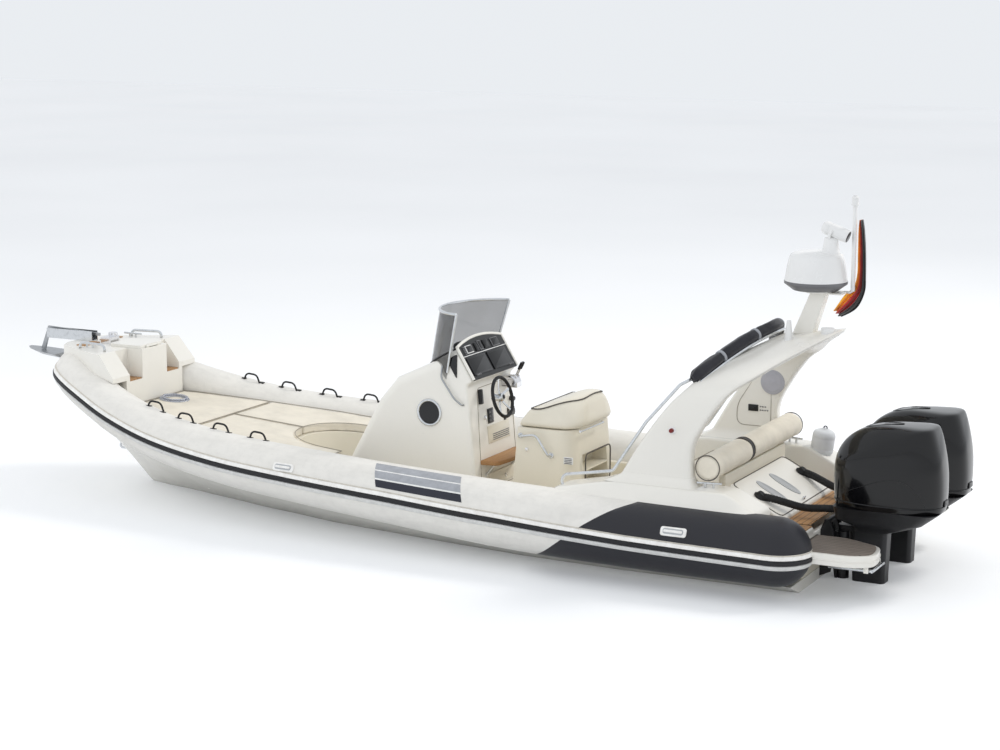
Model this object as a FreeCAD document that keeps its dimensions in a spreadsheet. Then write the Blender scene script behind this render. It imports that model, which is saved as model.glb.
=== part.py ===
import FreeCAD, Part
import math
import os
import re
from types import SimpleNamespace

# Rigid inflatable boat, afloat, with a steering console, a radar arch and twin outboard engines.
# Millimetres. +X points to the bow, +Y to port and +Z up. Z = 0 is the waterline, Y = 0 the
# centreline, and X = 0 is level with the aft ends of the two side tubes.

Vector = FreeCAD.Vector

# Sizes: name and value in millimetres, degrees or a plain number
SIZES = [
    ("seat_gap", 0.3),                  # between curved pieces that seat on each other
    ("stern_plane", 150),               # outer face of the transom
    ("stern_tube_radius", 265),
    ("middle_tube_radius", 246),
    ("bow_tube_radius", 188),
    ("tube_line_y", 1137),              # tube centreline from the middle plane, aft
    ("tube_line_z", 352),               # tube centreline above the water, aft
    ("bow_line_x", 7380),               # tube centreline where it crosses the bow
    ("bow_line_z", 1025),
    ("tail_line_x", 1868),              # where white meets black, level with the tube's middle
    ("tail_slant", 54),
    ("strake_height", 108),
    ("strake_depth", 20),
    ("strake_drop", 28),                # middle of the strake below the tube's middle
    ("keel_depth", 420),
    ("stem_waterline_x", 6690),
    ("sole_height", 270),
    ("coaming_width", 60),
    ("coaming_rise", 60),               # coaming top above the tube's middle
    ("bow_base_start", 4400),
    ("bow_base_end", 6630),
    ("bow_base_rise", 160),
    ("cushion_thickness", 70),
    ("cushion_gap", 4),
    ("cushion_seam_x", 5810),
    ("well_half_width", 450),
    ("well_reach", 200),                # round middle of the foot well ahead of the base
    ("platform_top", 1250),
    ("platform_half_width", 610),
    ("platform_nose_x", 7480),
    ("platform_start", 6640),
    ("locker_half_width", 370),
    ("hatch_start", 6700),
    ("hatch_length", 280),
    ("hatch_half_width", 150),
    ("hatch_depth", 400),
    ("lid_lip", 30),
    ("lid_thickness", 26),
    ("step_end", 6800),                 # fore end of the two steps in the platform
    ("step_inner", 190),
    ("step_outer", 385),
    ("step_floor", 985),
    ("wing_low", 1045),                 # aft end of the platform's sloping wings
    ("tread_thickness", 12),
    ("knuckle_radius", 9),
    ("console_half_width", 415),
    ("console_round", 85),
    ("panel_thickness", 22),
    ("panel_half_width", 395),
    ("screen_half_width", 455),
    ("screen_thickness", 8),
    ("screen_top", 1835),
    ("porthole_radius", 117),
    ("porthole_depth", 14),
    ("wheel_radius", 180),
    ("wheel_grip", 14),
    ("wheel_centre_x", 3062),
    ("wheel_centre_y", 110),
    ("wheel_centre_z", 1112),
    ("wheel_rake", 15),
    ("wheel_column", 24),
    ("seat_front", 2830),
    ("seat_length", 600),
    ("seat_half_width", 415),
    ("seat_top", 940),
    ("galley_well", 150),
    ("galley_wall", 75),
    ("shelf_recess", 170),
    ("shelf_half_width", 240),
    ("shelf_floor", 440),
    ("shelf_roof", 720),
    ("moulding_inner", 815),
    ("moulding_outer", 1190),
    ("moulding_top", 738),
    ("roof_crown", 1885),               # aft point of the arch's roof
    ("bimini_radius", 54),
    ("radome_radius", 244.5),
    ("radome_height", 310),
    ("radome_base_z", 2168),
    ("radome_x", 398),
    ("bench_start", 850),
    ("bench_length", 640),
    ("bench_half_width", 690),
    ("bench_top", 560),
    ("bench_cushion", 95),
    ("roll_radius", 101),
    ("roll_x", 898),
    ("roll_z", 890),
    ("well_floor", 300),
    ("well_half", 620),
    ("transom_top", 390),
    ("transom_thickness", 55),
    ("aft_deck_top", 440),
    ("teak_thickness", 8),
    ("swim_platform_top", 380),
    ("swim_platform_thickness", 90),
    ("swim_platform_inner", 600),
    ("swim_platform_outer", 1150),
    ("swim_platform_aft", -460),
    ("swim_platform_fore", -30),
    ("ladder_y", 900),
    ("ladder_length", 340),
    ("ladder_half_width", 130),
    ("ladder_tube", 12),
    ("engine_spacing", 700),
    ("tilt_axis_x", 100),
    ("tilt_axis_z", 450),
    ("tilt_tube_radius", 24),
    ("steer_axis_x", 0),
    ("swivel_top", 372),
    ("swivel_bottom", -145),
    ("cowl_line_z", 600),
    ("swivel_radius", 48),
    ("clamp_thickness", 22),
    ("clamp_half_span", 98),
    ("shaft_z", -560),
    ("gearcase_radius", 62),
    ("propeller_radius", 195),
    ("propeller_x", -480),
    ("propeller_blades", 3),
    ("hub_length", 120),
    ("conduit_radius", 31),
    ("fender_radius", 95),
    ("fender_length", 330),
    ("loop_radius", 9),
    ("handle_lift", 26),
    ("eye_x", 7015),
    ("eye_z", 300),
    ("eye_radius", 15),
    ("eye_plate_radius", 32),
    ("eye_thickness", 16),
]

# Tube centreline, port side, from the stern to the front of the side chamber:
# x, y, z, radius, heading in degrees from dead ahead towards the middle
TUBE_LINE = [
    (265, 1137, 352, 265, 0),
    (1400, 1137, 358, 268, 0),
    (2500, 1135, 384, 265, 1),
    (3500, 1105, 432, 246, 3),
    (4400, 1052, 482, 232, 6),
    (5200, 962, 527, 221, 9),
    (5900, 850, 610, 210, 13),
    (6450, 720, 738, 202, 18),
    (6900, 570, 893, 195, 26),
]
# The bow chamber goes on from there to the middle plane, same columns
BOW_LINE = [
    (6900, 570, 893, 195, 26),
    (7180, 425, 990, 190, 44),
    (7335, 225, 1018, 188, 68),
    (7380, 0, 1025, 188, 90),
]
# Hull: x, keel height
KEEL_LINE = [
    (150, -420),
    (2500, -430),
    (3500, -405),
    (4400, -360),
    (5200, -235),
    (5900, -135),
    (6450, -60),
    (6690, 0),
    (6900, 205),
    (7130, 560),
]

document = FreeCAD.newDocument("RigidInflatableBoat")
sheet = document.addObject("Spreadsheet::Sheet", "Sizes")
for row, (size_name, size_value) in enumerate(SIZES, start=1):
    sheet.set(f"A{row}", size_name)
    sheet.set(f"B{row}", str(size_value))
    sheet.setAlias(f"B{row}", size_name)
document.recompute()
v = SimpleNamespace(**{size_name: float(sheet.get(size_name)) for size_name, _ in SIZES})

finished = {}


def formula(text):
    """A formula of size names, as the document writes it."""
    return re.sub(r"\b([a-z_]{3,})\b", r"Sizes.\1", str(text))


def keep(name, item):
    """Notes an object of the document as a finished sub-part of that name."""
    item.Label = name
    finished[name] = item
    return item


def tie(item, prop, text):
    item.setExpression(prop, formula(text))


def place(item, x, y, z):
    for axis, text in zip("xyz", (x, y, z)):
        tie(item, f".Placement.Base.{axis}", text)


def block(name, low, extent):
    """Box from its low corner and its extents, each a formula."""
    item = document.addObject("Part::Box", name)
    for prop, text in zip(("Length", "Width", "Height"), extent):
        tie(item, prop, text)
    place(item, *low)
    return item


def rod(name, radius, length, base, direction=Vector(0, 0, 1)):
    """Cylinder from the middle of one end."""
    item = document.addObject("Part::Cylinder", name)
    tie(item, "Radius", radius)
    tie(item, "Height", length)
    item.Placement = FreeCAD.Placement(Vector(), FreeCAD.Rotation(Vector(0, 0, 1), direction))
    place(item, *base)
    return item


def join(name, *items):
    item = document.addObject("Part::MultiFuse", name)
    item.Shapes = list(items)
    return item


def cut(name, base, *tools):
    tool = tools[0] if len(tools) == 1 else join(name + "_tools", *tools)
    item = document.addObject("Part::Cut", name)
    item.Base = base
    item.Tool = tool
    return item


def freeform(name, shape):
    item = document.addObject("Part::Feature", name)
    item.Shape = shape
    return item


def profile_pad(name, points, low_y, high_y):
    """Body padded from a closed outline of (x, z) points, between two values of y."""
    body = document.addObject("PartDesign::Body", name)
    sketch = body.newObject("Sketcher::SketchObject", name + "_outline")
    plane = [o for o in body.Origin.OriginFeatures if o.Role == "XZ_Plane"][0]
    sketch.AttachmentSupport = [(plane, "")]
    sketch.MapMode = "FlatFace"
    corners = [Vector(x, z, 0) for x, z in points]
    for start, end in zip(corners, corners[1:] + corners[:1]):
        sketch.addGeometry(Part.LineSegment(start, end), False)
    pad = body.newObject("PartDesign::Pad", name + "_pad")
    pad.Profile = sketch
    tie(pad, "Length", f"({high_y}) - ({low_y})")
    pad.Reversed = True
    tie(body, ".Placement.Base.y", low_y)
    return body


def loft(sections, ruled=True):
    return Part.makeLoft(sections, True, ruled)


def polygon(points):
    return Part.makePolygon([Vector(*p) for p in points] + [Vector(*points[0])])


def crosswise(x, outline):
    """Closed outline of (y, z) points in the plane across the boat at x."""
    return polygon([(x, y, z) for y, z in outline])


def mirrored(shape):
    return shape.mirror(Vector(0, 0, 0), Vector(0, 1, 0))


def both_sides(shape):
    return Part.makeCompound([shape, mirrored(shape)])


def bent_tube(points, radius, bend):
    """Round tube along straight runs joined by arcs of one bend radius."""
    corners = [Vector(*p) for p in points]
    edges = []
    start = corners[0]
    for before, corner, after in zip(corners, corners[1:], corners[2:]):
        back = (before - corner).normalize()
        ahead = (after - corner).normalize()
        half_turn = (math.pi - back.getAngle(ahead)) / 2
        reach = bend * math.tan(half_turn)
        first = corner + back * reach
        last = corner + ahead * reach
        middle_way = (back + ahead).normalize()
        middle = corner + middle_way * (bend / math.cos(half_turn) - bend)
        edges.append(Part.LineSegment(start, first).toShape())
        edges.append(Part.Arc(first, middle, last).toShape())
        start = last
    edges.append(Part.LineSegment(start, corners[-1]).toShape())
    path = Part.Wire(edges)
    ring = Part.Wire(Part.makeCircle(radius, corners[0], corners[1] - corners[0]))
    return path.makePipeShell([ring], True, False)


def rounded_outline(low_y, high_y, low_z, high_z, corner, at_x):
    """Rounded rectangle across the boat, as four lines and four arcs."""
    points = [(high_y, low_z), (high_y, high_z), (low_y, high_z), (low_y, low_z)]
    wire = crosswise(at_x, points)
    return rounded(wire, corner)


def rounded(wire, corner):
    """The same closed polygon with its corners rounded to one radius."""
    corners = [p.Point for p in wire.OrderedVertexes]
    edges = []
    ends = []
    count = len(corners)
    for index in range(count):
        here = corners[index]
        back = (corners[index - 1] - here).normalize()
        ahead = (corners[(index + 1) % count] - here).normalize()
        half_turn = (math.pi - back.getAngle(ahead)) / 2
        reach = corner * math.tan(half_turn)
        middle_way = (back + ahead).normalize()
        middle = here + middle_way * (corner / math.cos(half_turn) - corner)
        ends.append((here + back * reach, middle, here + ahead * reach))
    for index in range(count):
        first, middle, last = ends[index]
        edges.append(Part.Arc(first, middle, last).toShape())
        edges.append(Part.LineSegment(last, ends[(index + 1) % count][0]).toShape())
    return Part.Wire(edges)


def line_at(table, x):
    """Row of a table at x, between its rows."""
    if x <= table[0][0]:
        return (x,) + tuple(table[0][1:])
    for first, last in zip(table, table[1:]):
        if x <= last[0]:
            share = (x - first[0]) / (last[0] - first[0])
            return (x,) + tuple(a + (b - a) * share for a, b in zip(first[1:], last[1:]))
    return (x,) + tuple(table[-1][1:])


# Tubes
def tube_ring(x, y, z, radius, heading, grow=0.0):
    ring = Part.Wire(Part.makeCircle(radius + grow, Vector(), Vector(1, 0, 0)))
    ring.rotate(Vector(), Vector(0, 0, 1), -heading)
    ring.translate(Vector(x, y, z))
    return ring


def side_tube(grow=0.0):
    first = TUBE_LINE[0]
    barrel = loft([tube_ring(*row, grow=grow) for row in TUBE_LINE])
    dome = Part.makeSphere(first[3] + grow, Vector(*first[:3]))
    aft_half = Part.makeBox(1000, 1000, 1000, Vector(first[0] - 1000, first[1] - 500, first[2] - 500))
    return barrel.fuse(dome.common(aft_half)).removeSplitter()


def far_row(row):
    x, y, z, radius, heading = row
    return (x, -y, z, radius, 180 - heading)


def bow_rows():
    return BOW_LINE + [far_row(row) for row in reversed(BOW_LINE[:-1])]


def bow_tube(grow=0.0):
    return loft([tube_ring(*row, grow=grow) for row in bow_rows()])


side = side_tube()
# The black tail is parted from the white tube along a plane that slants forward going down
tail_cutter = Part.makeBox(4000, 1600, 5000, Vector(-4000, 300, -2500))
tail_cutter.rotate(Vector(0, 0, 0), Vector(0, 1, 0), -v.tail_slant)
tail_cutter.translate(Vector(v.tail_line_x, 0, v.tube_line_z))
white = side.cut(tail_cutter)
black = side.common(tail_cutter)
keep("tube_port", freeform("tube_port_shape", white))
keep("tube_starboard", freeform("tube_starboard_shape", mirrored(white)))
keep("tube_bow", freeform("tube_bow_shape", bow_tube()))
keep("tube_tails", freeform("tube_tails_shape", both_sides(black)))

side_clear = side_tube(v.seat_gap)
sides_clear = [side_clear, mirrored(side_clear), bow_tube(v.seat_gap)]


# Rubbing strakes
# x, how far the strake has risen on the tube from its place at the stern
STRAKE_RISE = [(265, 0), (1400, 14), (2500, 42), (3500, 44), (4400, 34), (5200, 32), (7380, 32)]


def strake_ring(x, y, z, radius, heading):
    """Section of the strake, its back following the tube."""
    middle = line_at(STRAKE_RISE, x)[1] - v.strake_drop
    top = middle + v.strake_height / 2
    bottom = middle - v.strake_height / 2
    back = [math.sqrt(radius ** 2 - dz ** 2) - 6 for dz in (top, middle, bottom)]
    face = radius + v.strake_depth
    lip = v.strake_depth * 0.4
    points = [(back[0], top), (face - lip, top), (face, top - lip), (face, bottom + lip),
              (face - lip, bottom), (back[2], bottom), (back[1], middle)]
    ring = polygon([(0, out, up) for out, up in points])
    ring.rotate(Vector(), Vector(0, 0, 1), -heading)
    ring.translate(Vector(x, y, z))
    return ring


stern_row = TUBE_LINE[0]
stern_turns = [stern_row[:4] + (-turn,) for turn in (105, 85, 65, 45, 22)]
strake_rows = stern_turns + TUBE_LINE + BOW_LINE[1:]
strake = loft([strake_ring(*row) for row in strake_rows])
for clear in (side_clear, bow_tube(v.seat_gap)):
    strake = strake.cut(clear)
strake = max(strake.Solids, key=lambda solid: solid.Volume)
keep("strakes", freeform("strakes_shape", both_sides(strake)))


# Hull
def shelf(x):
    """Half-beam and height of the shelf that a tube rests on, at x."""
    _, y, z, radius, _ = line_at(TUBE_LINE + BOW_LINE[1:], x)
    return y, z - radius - v.seat_gap


def wall(x):
    """Half-beam of the mouldings between the tubes, at x."""
    _, y, z, radius, heading = line_at(TUBE_LINE + BOW_LINE[1:], x)
    return y - radius / math.cos(math.radians(heading)) - 2 * v.seat_gap


hull_stations = [150, 265, 1400, 2500, 3500, 4400, 5200, 5900, 6450, 6690, 6900, 7130]
hull_sections = []
for x in hull_stations:
    keel = line_at(KEEL_LINE, x)[1]
    beam, height = shelf(x)
    hull_sections.append(crosswise(x, [(0, keel), (beam, height), (-beam, height)]))
keep("hull", freeform("hull_shape", loft(hull_sections)))

# Cockpit moulding: sole and low inner sides
deck_sections = []
for x in [150, 265, 1400, 2500, 3500, v.bow_base_start]:
    out = wall(x)
    inner = out - v.coaming_width
    low = shelf(x)[1]
    high = line_at(TUBE_LINE, x)[2] + v.coaming_rise
    half = [(out, low), (out, high), (inner, high), (inner, v.sole_height)]
    deck_sections.append(crosswise(x, half + [(-y, z) for y, z in reversed(half)]))
keep("cockpit_moulding", freeform("cockpit_moulding_shape", loft(deck_sections)))


# Bow seating: base, well and cushions
def cushion_top(x):
    return line_at([(4400, 585), (5100, 650), (5810, 702), (6630, 770)], x)[1]


def slab_section(x, half, low, high):
    return crosswise(x, [(-half, low), (half, low), (half, high), (-half, high)])


def well_cutter(half_width, low):
    """Round-ended foot well, open towards the console."""
    start = v.bow_base_start - 10
    straight = Part.makeBox(v.well_reach + 10, 2 * half_width, 900, Vector(start, -half_width, low))
    return straight.fuse(Part.makeCylinder(half_width, 900, Vector(v.bow_base_start + v.well_reach, 0, low)))


well = well_cutter(v.well_half_width, v.sole_height)
well_wide = well_cutter(v.well_half_width + 25, 400)
bow_stations = [v.bow_base_start, 5100, 5200, v.cushion_seam_x, 5900, 6450, v.bow_base_end]
base_top = v.cushion_thickness
bow_base = loft([slab_section(x, wall(x), shelf(x)[1], cushion_top(x) - base_top) for x in bow_stations])
keep("bow_seat_base", freeform("bow_seat_base_shape", bow_base.cut(well)))


def cushion(stations, low_y, high_y):
    """Cushion over the seat base between two shares of the width (-1 to 1)."""
    sections = []
    for x in stations:
        edge = wall(x) - 12
        low = cushion_top(x) - base_top + v.seat_gap
        ends = [low_y * edge, high_y * edge]
        if low_y == 0:
            ends[0] = v.cushion_gap / 2
        if high_y == 0:
            ends[1] = -v.cushion_gap / 2
        sections.append(crosswise(x, [(ends[0], low), (ends[1], low), (ends[1], cushion_top(x)),
                                      (ends[0], cushion_top(x))]))
    return loft(sections)


aft_part = [v.bow_base_start + v.cushion_gap, 5100, 5200, v.cushion_seam_x - v.cushion_gap]
fore_part = [v.cushion_seam_x, 5900, 6450, v.bow_base_end - v.cushion_gap]
keep("cushion_port", freeform("cushion_port_shape", cushion(aft_part, 0, 1).cut(well_wide)))
keep("cushion_starboard", freeform("cushion_starboard_shape", cushion(aft_part, -1, 0).cut(well_wide)))
keep("cushion_fore", freeform("cushion_fore_shape", cushion(fore_part, -1, 1)))

# Bow platform over the anchor locker
nose = [(v.platform_nose_x, 170), (v.platform_nose_x - 70, 320), (6860, v.platform_half_width),
        (v.platform_start, v.platform_half_width + 30)]
outline = nose + [(x, -y) for x, y in reversed(nose)]
platform = Part.Face(polygon([(x, y, 1000) for x, y in outline])).extrude(
    Vector(0, 0, v.platform_top - 1000))
locker_low = shelf(v.platform_start)[1]
locker_plan = [(v.platform_start, wall(v.platform_start) - 8), (6900, v.locker_half_width),
               (6900, -v.locker_half_width), (v.platform_start, 8 - wall(v.platform_start))]
locker = Part.Face(polygon([(x, y, locker_low) for x, y in locker_plan])).extrude(
    Vector(0, 0, v.platform_top - 20 - locker_low))
platform = platform.fuse(locker)
for clear in sides_clear:
    platform = platform.cut(clear)
platform = platform.cut(loft(hull_sections))
hatch = Part.makeBox(v.hatch_length, 2 * v.hatch_half_width, v.hatch_depth + 10,
                     Vector(v.hatch_start, -v.hatch_half_width, v.platform_top - v.hatch_depth))
platform = platform.cut(hatch)
for side_sign in (1, -1):
    middle = side_sign * (v.step_inner + v.step_outer) / 2
    half_step = (v.step_outer - v.step_inner) / 2
    step = Part.makeBox(v.step_end - v.platform_start + 5, 2 * half_step, 400,
                        Vector(v.platform_start - 5, middle - half_step, v.step_floor))
    platform = platform.cut(step)
    wing_low_y = side_sign * (v.step_outer + 165) - 165
    wing_cut = Part.Face(polygon([(v.platform_start - 10, wing_low_y, v.wing_low - 12),
                                  (v.step_end, wing_low_y, v.platform_top + 1),
                                  (v.platform_start - 10, wing_low_y, v.platform_top + 1)]))
    platform = platform.cut(wing_cut.extrude(Vector(0, 330, 0)))
largest = max(platform.Solids, key=lambda solid: solid.Volume)

# Hinge of the locker lid: its axis lies behind the lid, above the platform
lid_axis_x = v.hatch_start - v.lid_lip - v.knuckle_radius - 3
lid_axis_z = v.platform_top + v.knuckle_radius + 3
for low_y in (62, -97):
    foot = Part.makeBox(10, 35, lid_axis_z - v.platform_top + 1, Vector(lid_axis_x - 5, low_y, v.platform_top - 1))
    knuckle = Part.makeCylinder(v.knuckle_radius, 35, Vector(lid_axis_x, low_y, lid_axis_z), Vector(0, 1, 0))
    largest = largest.fuse(foot).fuse(knuckle)
keep("bow_platform", freeform("bow_platform_shape", largest))

lid = block("anchor_lid_panel",
            ("hatch_start - lid_lip", "-hatch_half_width - lid_lip", "platform_top + seat_gap"),
            ("hatch_length + 2 * lid_lip", "2 * (hatch_half_width + lid_lip)", "lid_thickness"))
lid_round = document.addObject("Part::Fillet", "anchor_lid_round")
lid_round.Base = lid
document.recompute()
upright = [i for i, e in enumerate(lid.Shape.Edges, start=1) if abs(e.tangentAt(e.FirstParameter).z) > 0.9]
lid_round.Edges = [(i, 40, 40) for i in upright]
lid_knuckle = rod("lid_knuckle", "knuckle_radius", 120,
                  ("hatch_start - lid_lip - knuckle_radius - 3", -60, "platform_top + knuckle_radius + 3"),
                  Vector(0, 1, 0))
lid_leaf = block("lid_leaf", ("hatch_start - lid_lip - knuckle_radius - 3", -60, "platform_top + 5"),
                 ("knuckle_radius + 20", 120, 12))
keep("anchor_locker_lid", join("anchor_lid_whole", lid_round, lid_knuckle, lid_leaf))

# Bow roller, windlass and anchor
cheeks = [block(f"roller_cheek_{n}", (7300, y, "platform_top"), (510, 8, 90)) for n, y in ((1, 38), (2, -46))]
roller_floor = block("roller_floor", (7300, -46, "platform_top"), (470, 92, 8))
roller_wheel = rod("roller_wheel", 23, 84, (7765, 42, "platform_top + 50"), Vector(0, -1, 0))
keep("bow_roller", join("bow_roller_whole", *cheeks, roller_floor, roller_wheel))
keep("windlass", join("windlass_whole", rod("windlass_drum", 58, 62, (7105, -15, "platform_top")),
                      rod("windlass_cap", 40, 92, (7105, -15, "platform_top")),
                      block("windlass_motor", (7045, 10, "platform_top"), (110, 95, 62))))
# Corners of the anchor's shank, from the nose of the platform: along, up
SHANK = [(-240, 50), (-240, 76), (340, 104), (425, -110), (385, -125), (320, 75)]
# Sections of the fluke: along, keel below, edge below, half-width
FLUKE = [(560, 128, 100, 24), (420, 170, 118, 112), (180, 195, 138, 150)]
shank = polygon([(v.platform_nose_x + x, -10, v.platform_top + z) for x, z in SHANK])
shank = Part.Face(shank).extrude(Vector(0, 20, 0))
fluke = loft([crosswise(v.platform_nose_x + x, [(0, v.platform_top - keel), (half, v.platform_top - edge),
                                                (-half, v.platform_top - edge)])
              for x, keel, edge, half in FLUKE])
keep("anchor", freeform("anchor_shape", shank.fuse(fluke)))

# Towing eye on the stem: a plate with one round hole across the boat
eye_plate = Part.makeCylinder(v.eye_plate_radius, v.eye_thickness,
                              Vector(v.eye_x, -v.eye_thickness / 2, v.eye_z), Vector(0, 1, 0))
eye_root = Part.makeBox(120, v.eye_thickness, 2 * v.eye_plate_radius,
                        Vector(v.eye_x - 120, -v.eye_thickness / 2, v.eye_z - v.eye_plate_radius))
eye_bore = Part.makeCylinder(v.eye_radius, v.eye_thickness + 2,
                             Vector(v.eye_x, -v.eye_thickness / 2 - 1, v.eye_z), Vector(0, 1, 0))
stem_clear = loft(hull_sections).translated(Vector(2 * v.seat_gap, 0, 0))
eye = eye_plate.fuse(eye_root).cut(stem_clear).cut(eye_bore)
eye = max(eye.Solids, key=lambda solid: solid.CenterOfMass.x)
keep("towing_eye", freeform("towing_eye_shape", eye))

# Cleats: two beside the windlass and two on the side mouldings
CLEATS = [(7110, 330, v.platform_top, 0), (7110, -330, v.platform_top, 0), (880, 960, v.moulding_top, 12),
          (880, -960, v.moulding_top, -12)]
cleats = []
for x, y, z, turn in CLEATS:
    horn = Part.makeCylinder(9, 190, Vector(-95, 0, 36), Vector(1, 0, 0))
    posts = [Part.makeCylinder(10, 36, Vector(along, 0, 0)) for along in (-32, 32)]
    cleat = horn.multiFuse(posts)
    cleat.rotate(Vector(), Vector(0, 0, 1), turn)
    cleat.translate(Vector(x, y, z))
    cleats.append(cleat)
keep("cleats", freeform("cleats_shape", Part.makeCompound(cleats)))

# Teak: platform inlay, niche treads, helm foot rest and stern decks
teak_pieces = [
    block("teak_nose", (7195, -290, "platform_top"), (95, 230, "teak_thickness")),
    block("teak_nose_far", (7195, 60, "platform_top"), (95, 230, "teak_thickness")),
    block("teak_tread_port", ("platform_start + 6", "step_inner + 8", "step_floor"),
          ("step_end - platform_start - 14", "step_outer - step_inner - 16", "tread_thickness")),
    block("teak_tread_starboard", ("platform_start + 6", "8 - step_outer", "step_floor"),
          ("step_end - platform_start - 14", "step_outer - step_inner - 16", "tread_thickness")),
    block("teak_stern_port", (165, 630, "aft_deck_top"), (420, 150, "teak_thickness")),
    block("teak_stern_starboard", (165, -780, "aft_deck_top"), (420, 150, "teak_thickness")),
]
keep("teak", join("teak_whole", *teak_pieces))

# Steering console
console_profile = [(4520, v.sole_height), (4090, 1050), (3920, 1250), (3620, 1390), (3350, 1535),
                   (3190, 1275), (3240, 1235), (3140, v.sole_height)]
console_body = profile_pad("console_body", console_profile, "-console_half_width", "console_half_width")
document.recompute()
console_fillet = document.addObject("Part::Fillet", "console_round_edges")
console_fillet.Base = console_body


def on_front(edge):
    """True for the edges of the console's front, along its two side faces."""
    first = edge.Vertexes[0].Point
    last = edge.Vertexes[-1].Point
    along_side = abs(first.y - last.y) < 1
    return along_side and min(first.x, last.x) > 3600 and abs(first.x - last.x) > 1


front_edges = [i for i, e in enumerate(console_body.Shape.Edges, start=1) if on_front(e)]
console_fillet.Edges = [(i, v.console_round, v.console_round) for i in front_edges]
keep("console", console_fillet)

# Instrument panel on the console's slanted face
panel_foot = Vector(3190, 0, 1275)
panel_head = Vector(3350, 0, 1535)
panel_slope = math.degrees(math.atan2(panel_head.x - panel_foot.x, panel_head.z - panel_foot.z))
panel_height = (panel_head - panel_foot).Length
panel = Part.makeBox(v.panel_thickness, 2 * v.panel_half_width, panel_height + 12,
                     Vector(-v.panel_thickness - v.seat_gap, -v.panel_half_width, 2))
panel.rotate(Vector(), Vector(0, 1, 0), panel_slope)
panel.translate(panel_foot)
keep("instrument_panel", freeform("instrument_panel_shape", panel))


# Windscreen
def screen_wire(half_width, aft_x, turn_x, front_x, z, inset):
    """Closed U of a given thickness, seen from above."""
    def way(offset):
        w = half_width - offset
        f = front_x - offset
        return [Vector(aft_x, w, z), Vector(turn_x, w, z), Vector(f, 0, z), Vector(turn_x, -w, z),
                Vector(aft_x, -w, z)]
    outer = way(0)
    inner = way(inset)
    edges = [Part.LineSegment(outer[0], outer[1]).toShape(),
             Part.Arc(outer[1], outer[2], outer[3]).toShape(),
             Part.LineSegment(outer[3], outer[4]).toShape(),
             Part.LineSegment(outer[4], inner[4]).toShape(),
             Part.LineSegment(inner[4], inner[3]).toShape(),
             Part.Arc(inner[3], inner[2], inner[1]).toShape(),
             Part.LineSegment(inner[1], inner[0]).toShape(),
             Part.LineSegment(inner[0], outer[0]).toShape()]
    return Part.Wire(edges)


half = v.screen_half_width
glass = loft([screen_wire(half - 45, 3440, 3500, 3760, 1240, v.screen_thickness),
              screen_wire(half + 35, 3300, 3360, 3640, v.screen_top, v.screen_thickness)])
console_solid = loft([polygon([(x, y, z) for x, z in console_profile]) for y in (-416, 416)])
glass_clear = glass.cut(console_solid)
glass_clear = max(glass_clear.Solids, key=lambda solid: solid.Volume)
keep("windscreen", freeform("windscreen_shape", glass_clear))
rim_low = screen_wire(half + 38, 3297, 3360, 3643, v.screen_top + 0.3, v.screen_thickness + 6)
rim = Part.Face(rim_low).extrude(Vector(-3, 0, 12))
keep("windscreen_rim", freeform("windscreen_rim_shape", rim))

# Portholes
porthole_z = 985
rims = []
for side_sign in (1, -1):
    start = Vector(3590, side_sign * (v.console_half_width + v.seat_gap), porthole_z)
    disc = Part.makeCylinder(v.porthole_radius, v.porthole_depth, start, Vector(0, side_sign, 0))
    rims.append(disc)
keep("portholes", freeform("portholes_shape", Part.makeCompound(rims)))

# Steering wheel, its axis pointing forward and down into the console
rake = math.radians(v.wheel_rake)
wheel_axis = Vector(math.cos(rake), 0, -math.sin(rake))
wheel_centre = Vector(v.wheel_centre_x, v.wheel_centre_y, v.wheel_centre_z)
ring = Part.makeTorus(v.wheel_radius - v.wheel_grip, v.wheel_grip, wheel_centre, wheel_axis)
hub = Part.makeCylinder(36, 34, wheel_centre - wheel_axis * 12, wheel_axis)
column_length = 95
column = Part.makeCylinder(v.wheel_column, column_length, wheel_centre, wheel_axis)
wheel = ring.fuse(hub).fuse(column)
for spoke_turn in (90, 210, 330):
    spoke = Part.makeCylinder(8, v.wheel_radius - v.wheel_grip, wheel_centre,
                              FreeCAD.Rotation(wheel_axis, spoke_turn).multVec(Vector(0, 1, 0)))
    wheel = wheel.fuse(spoke)
keep("steering_wheel", freeform("steering_wheel_shape", wheel))
boss_start = wheel_centre + wheel_axis * (column_length + 1)
boss = Part.makeCylinder(46, 160, boss_start, wheel_axis).cut(console_solid)
boss = max(boss.Solids, key=lambda solid: -solid.CenterOfMass.x)
throttle_body = Part.makeBox(170, 110, 95, Vector(3090, -320, 1130)).cut(console_solid)
throttle_body = min(throttle_body.Solids, key=lambda solid: solid.CenterOfMass.x)
throttle_levers = [Part.makeCylinder(7, 150, Vector(3120, y, 1215), Vector(-0.45, 0, 1)) for y in (-285, -250)]
throttle = throttle_body
for lever in throttle_levers:
    throttle = throttle.fuse(lever)
keep("helm_controls", freeform("helm_controls_shape", Part.makeCompound([throttle, boss])))

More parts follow.
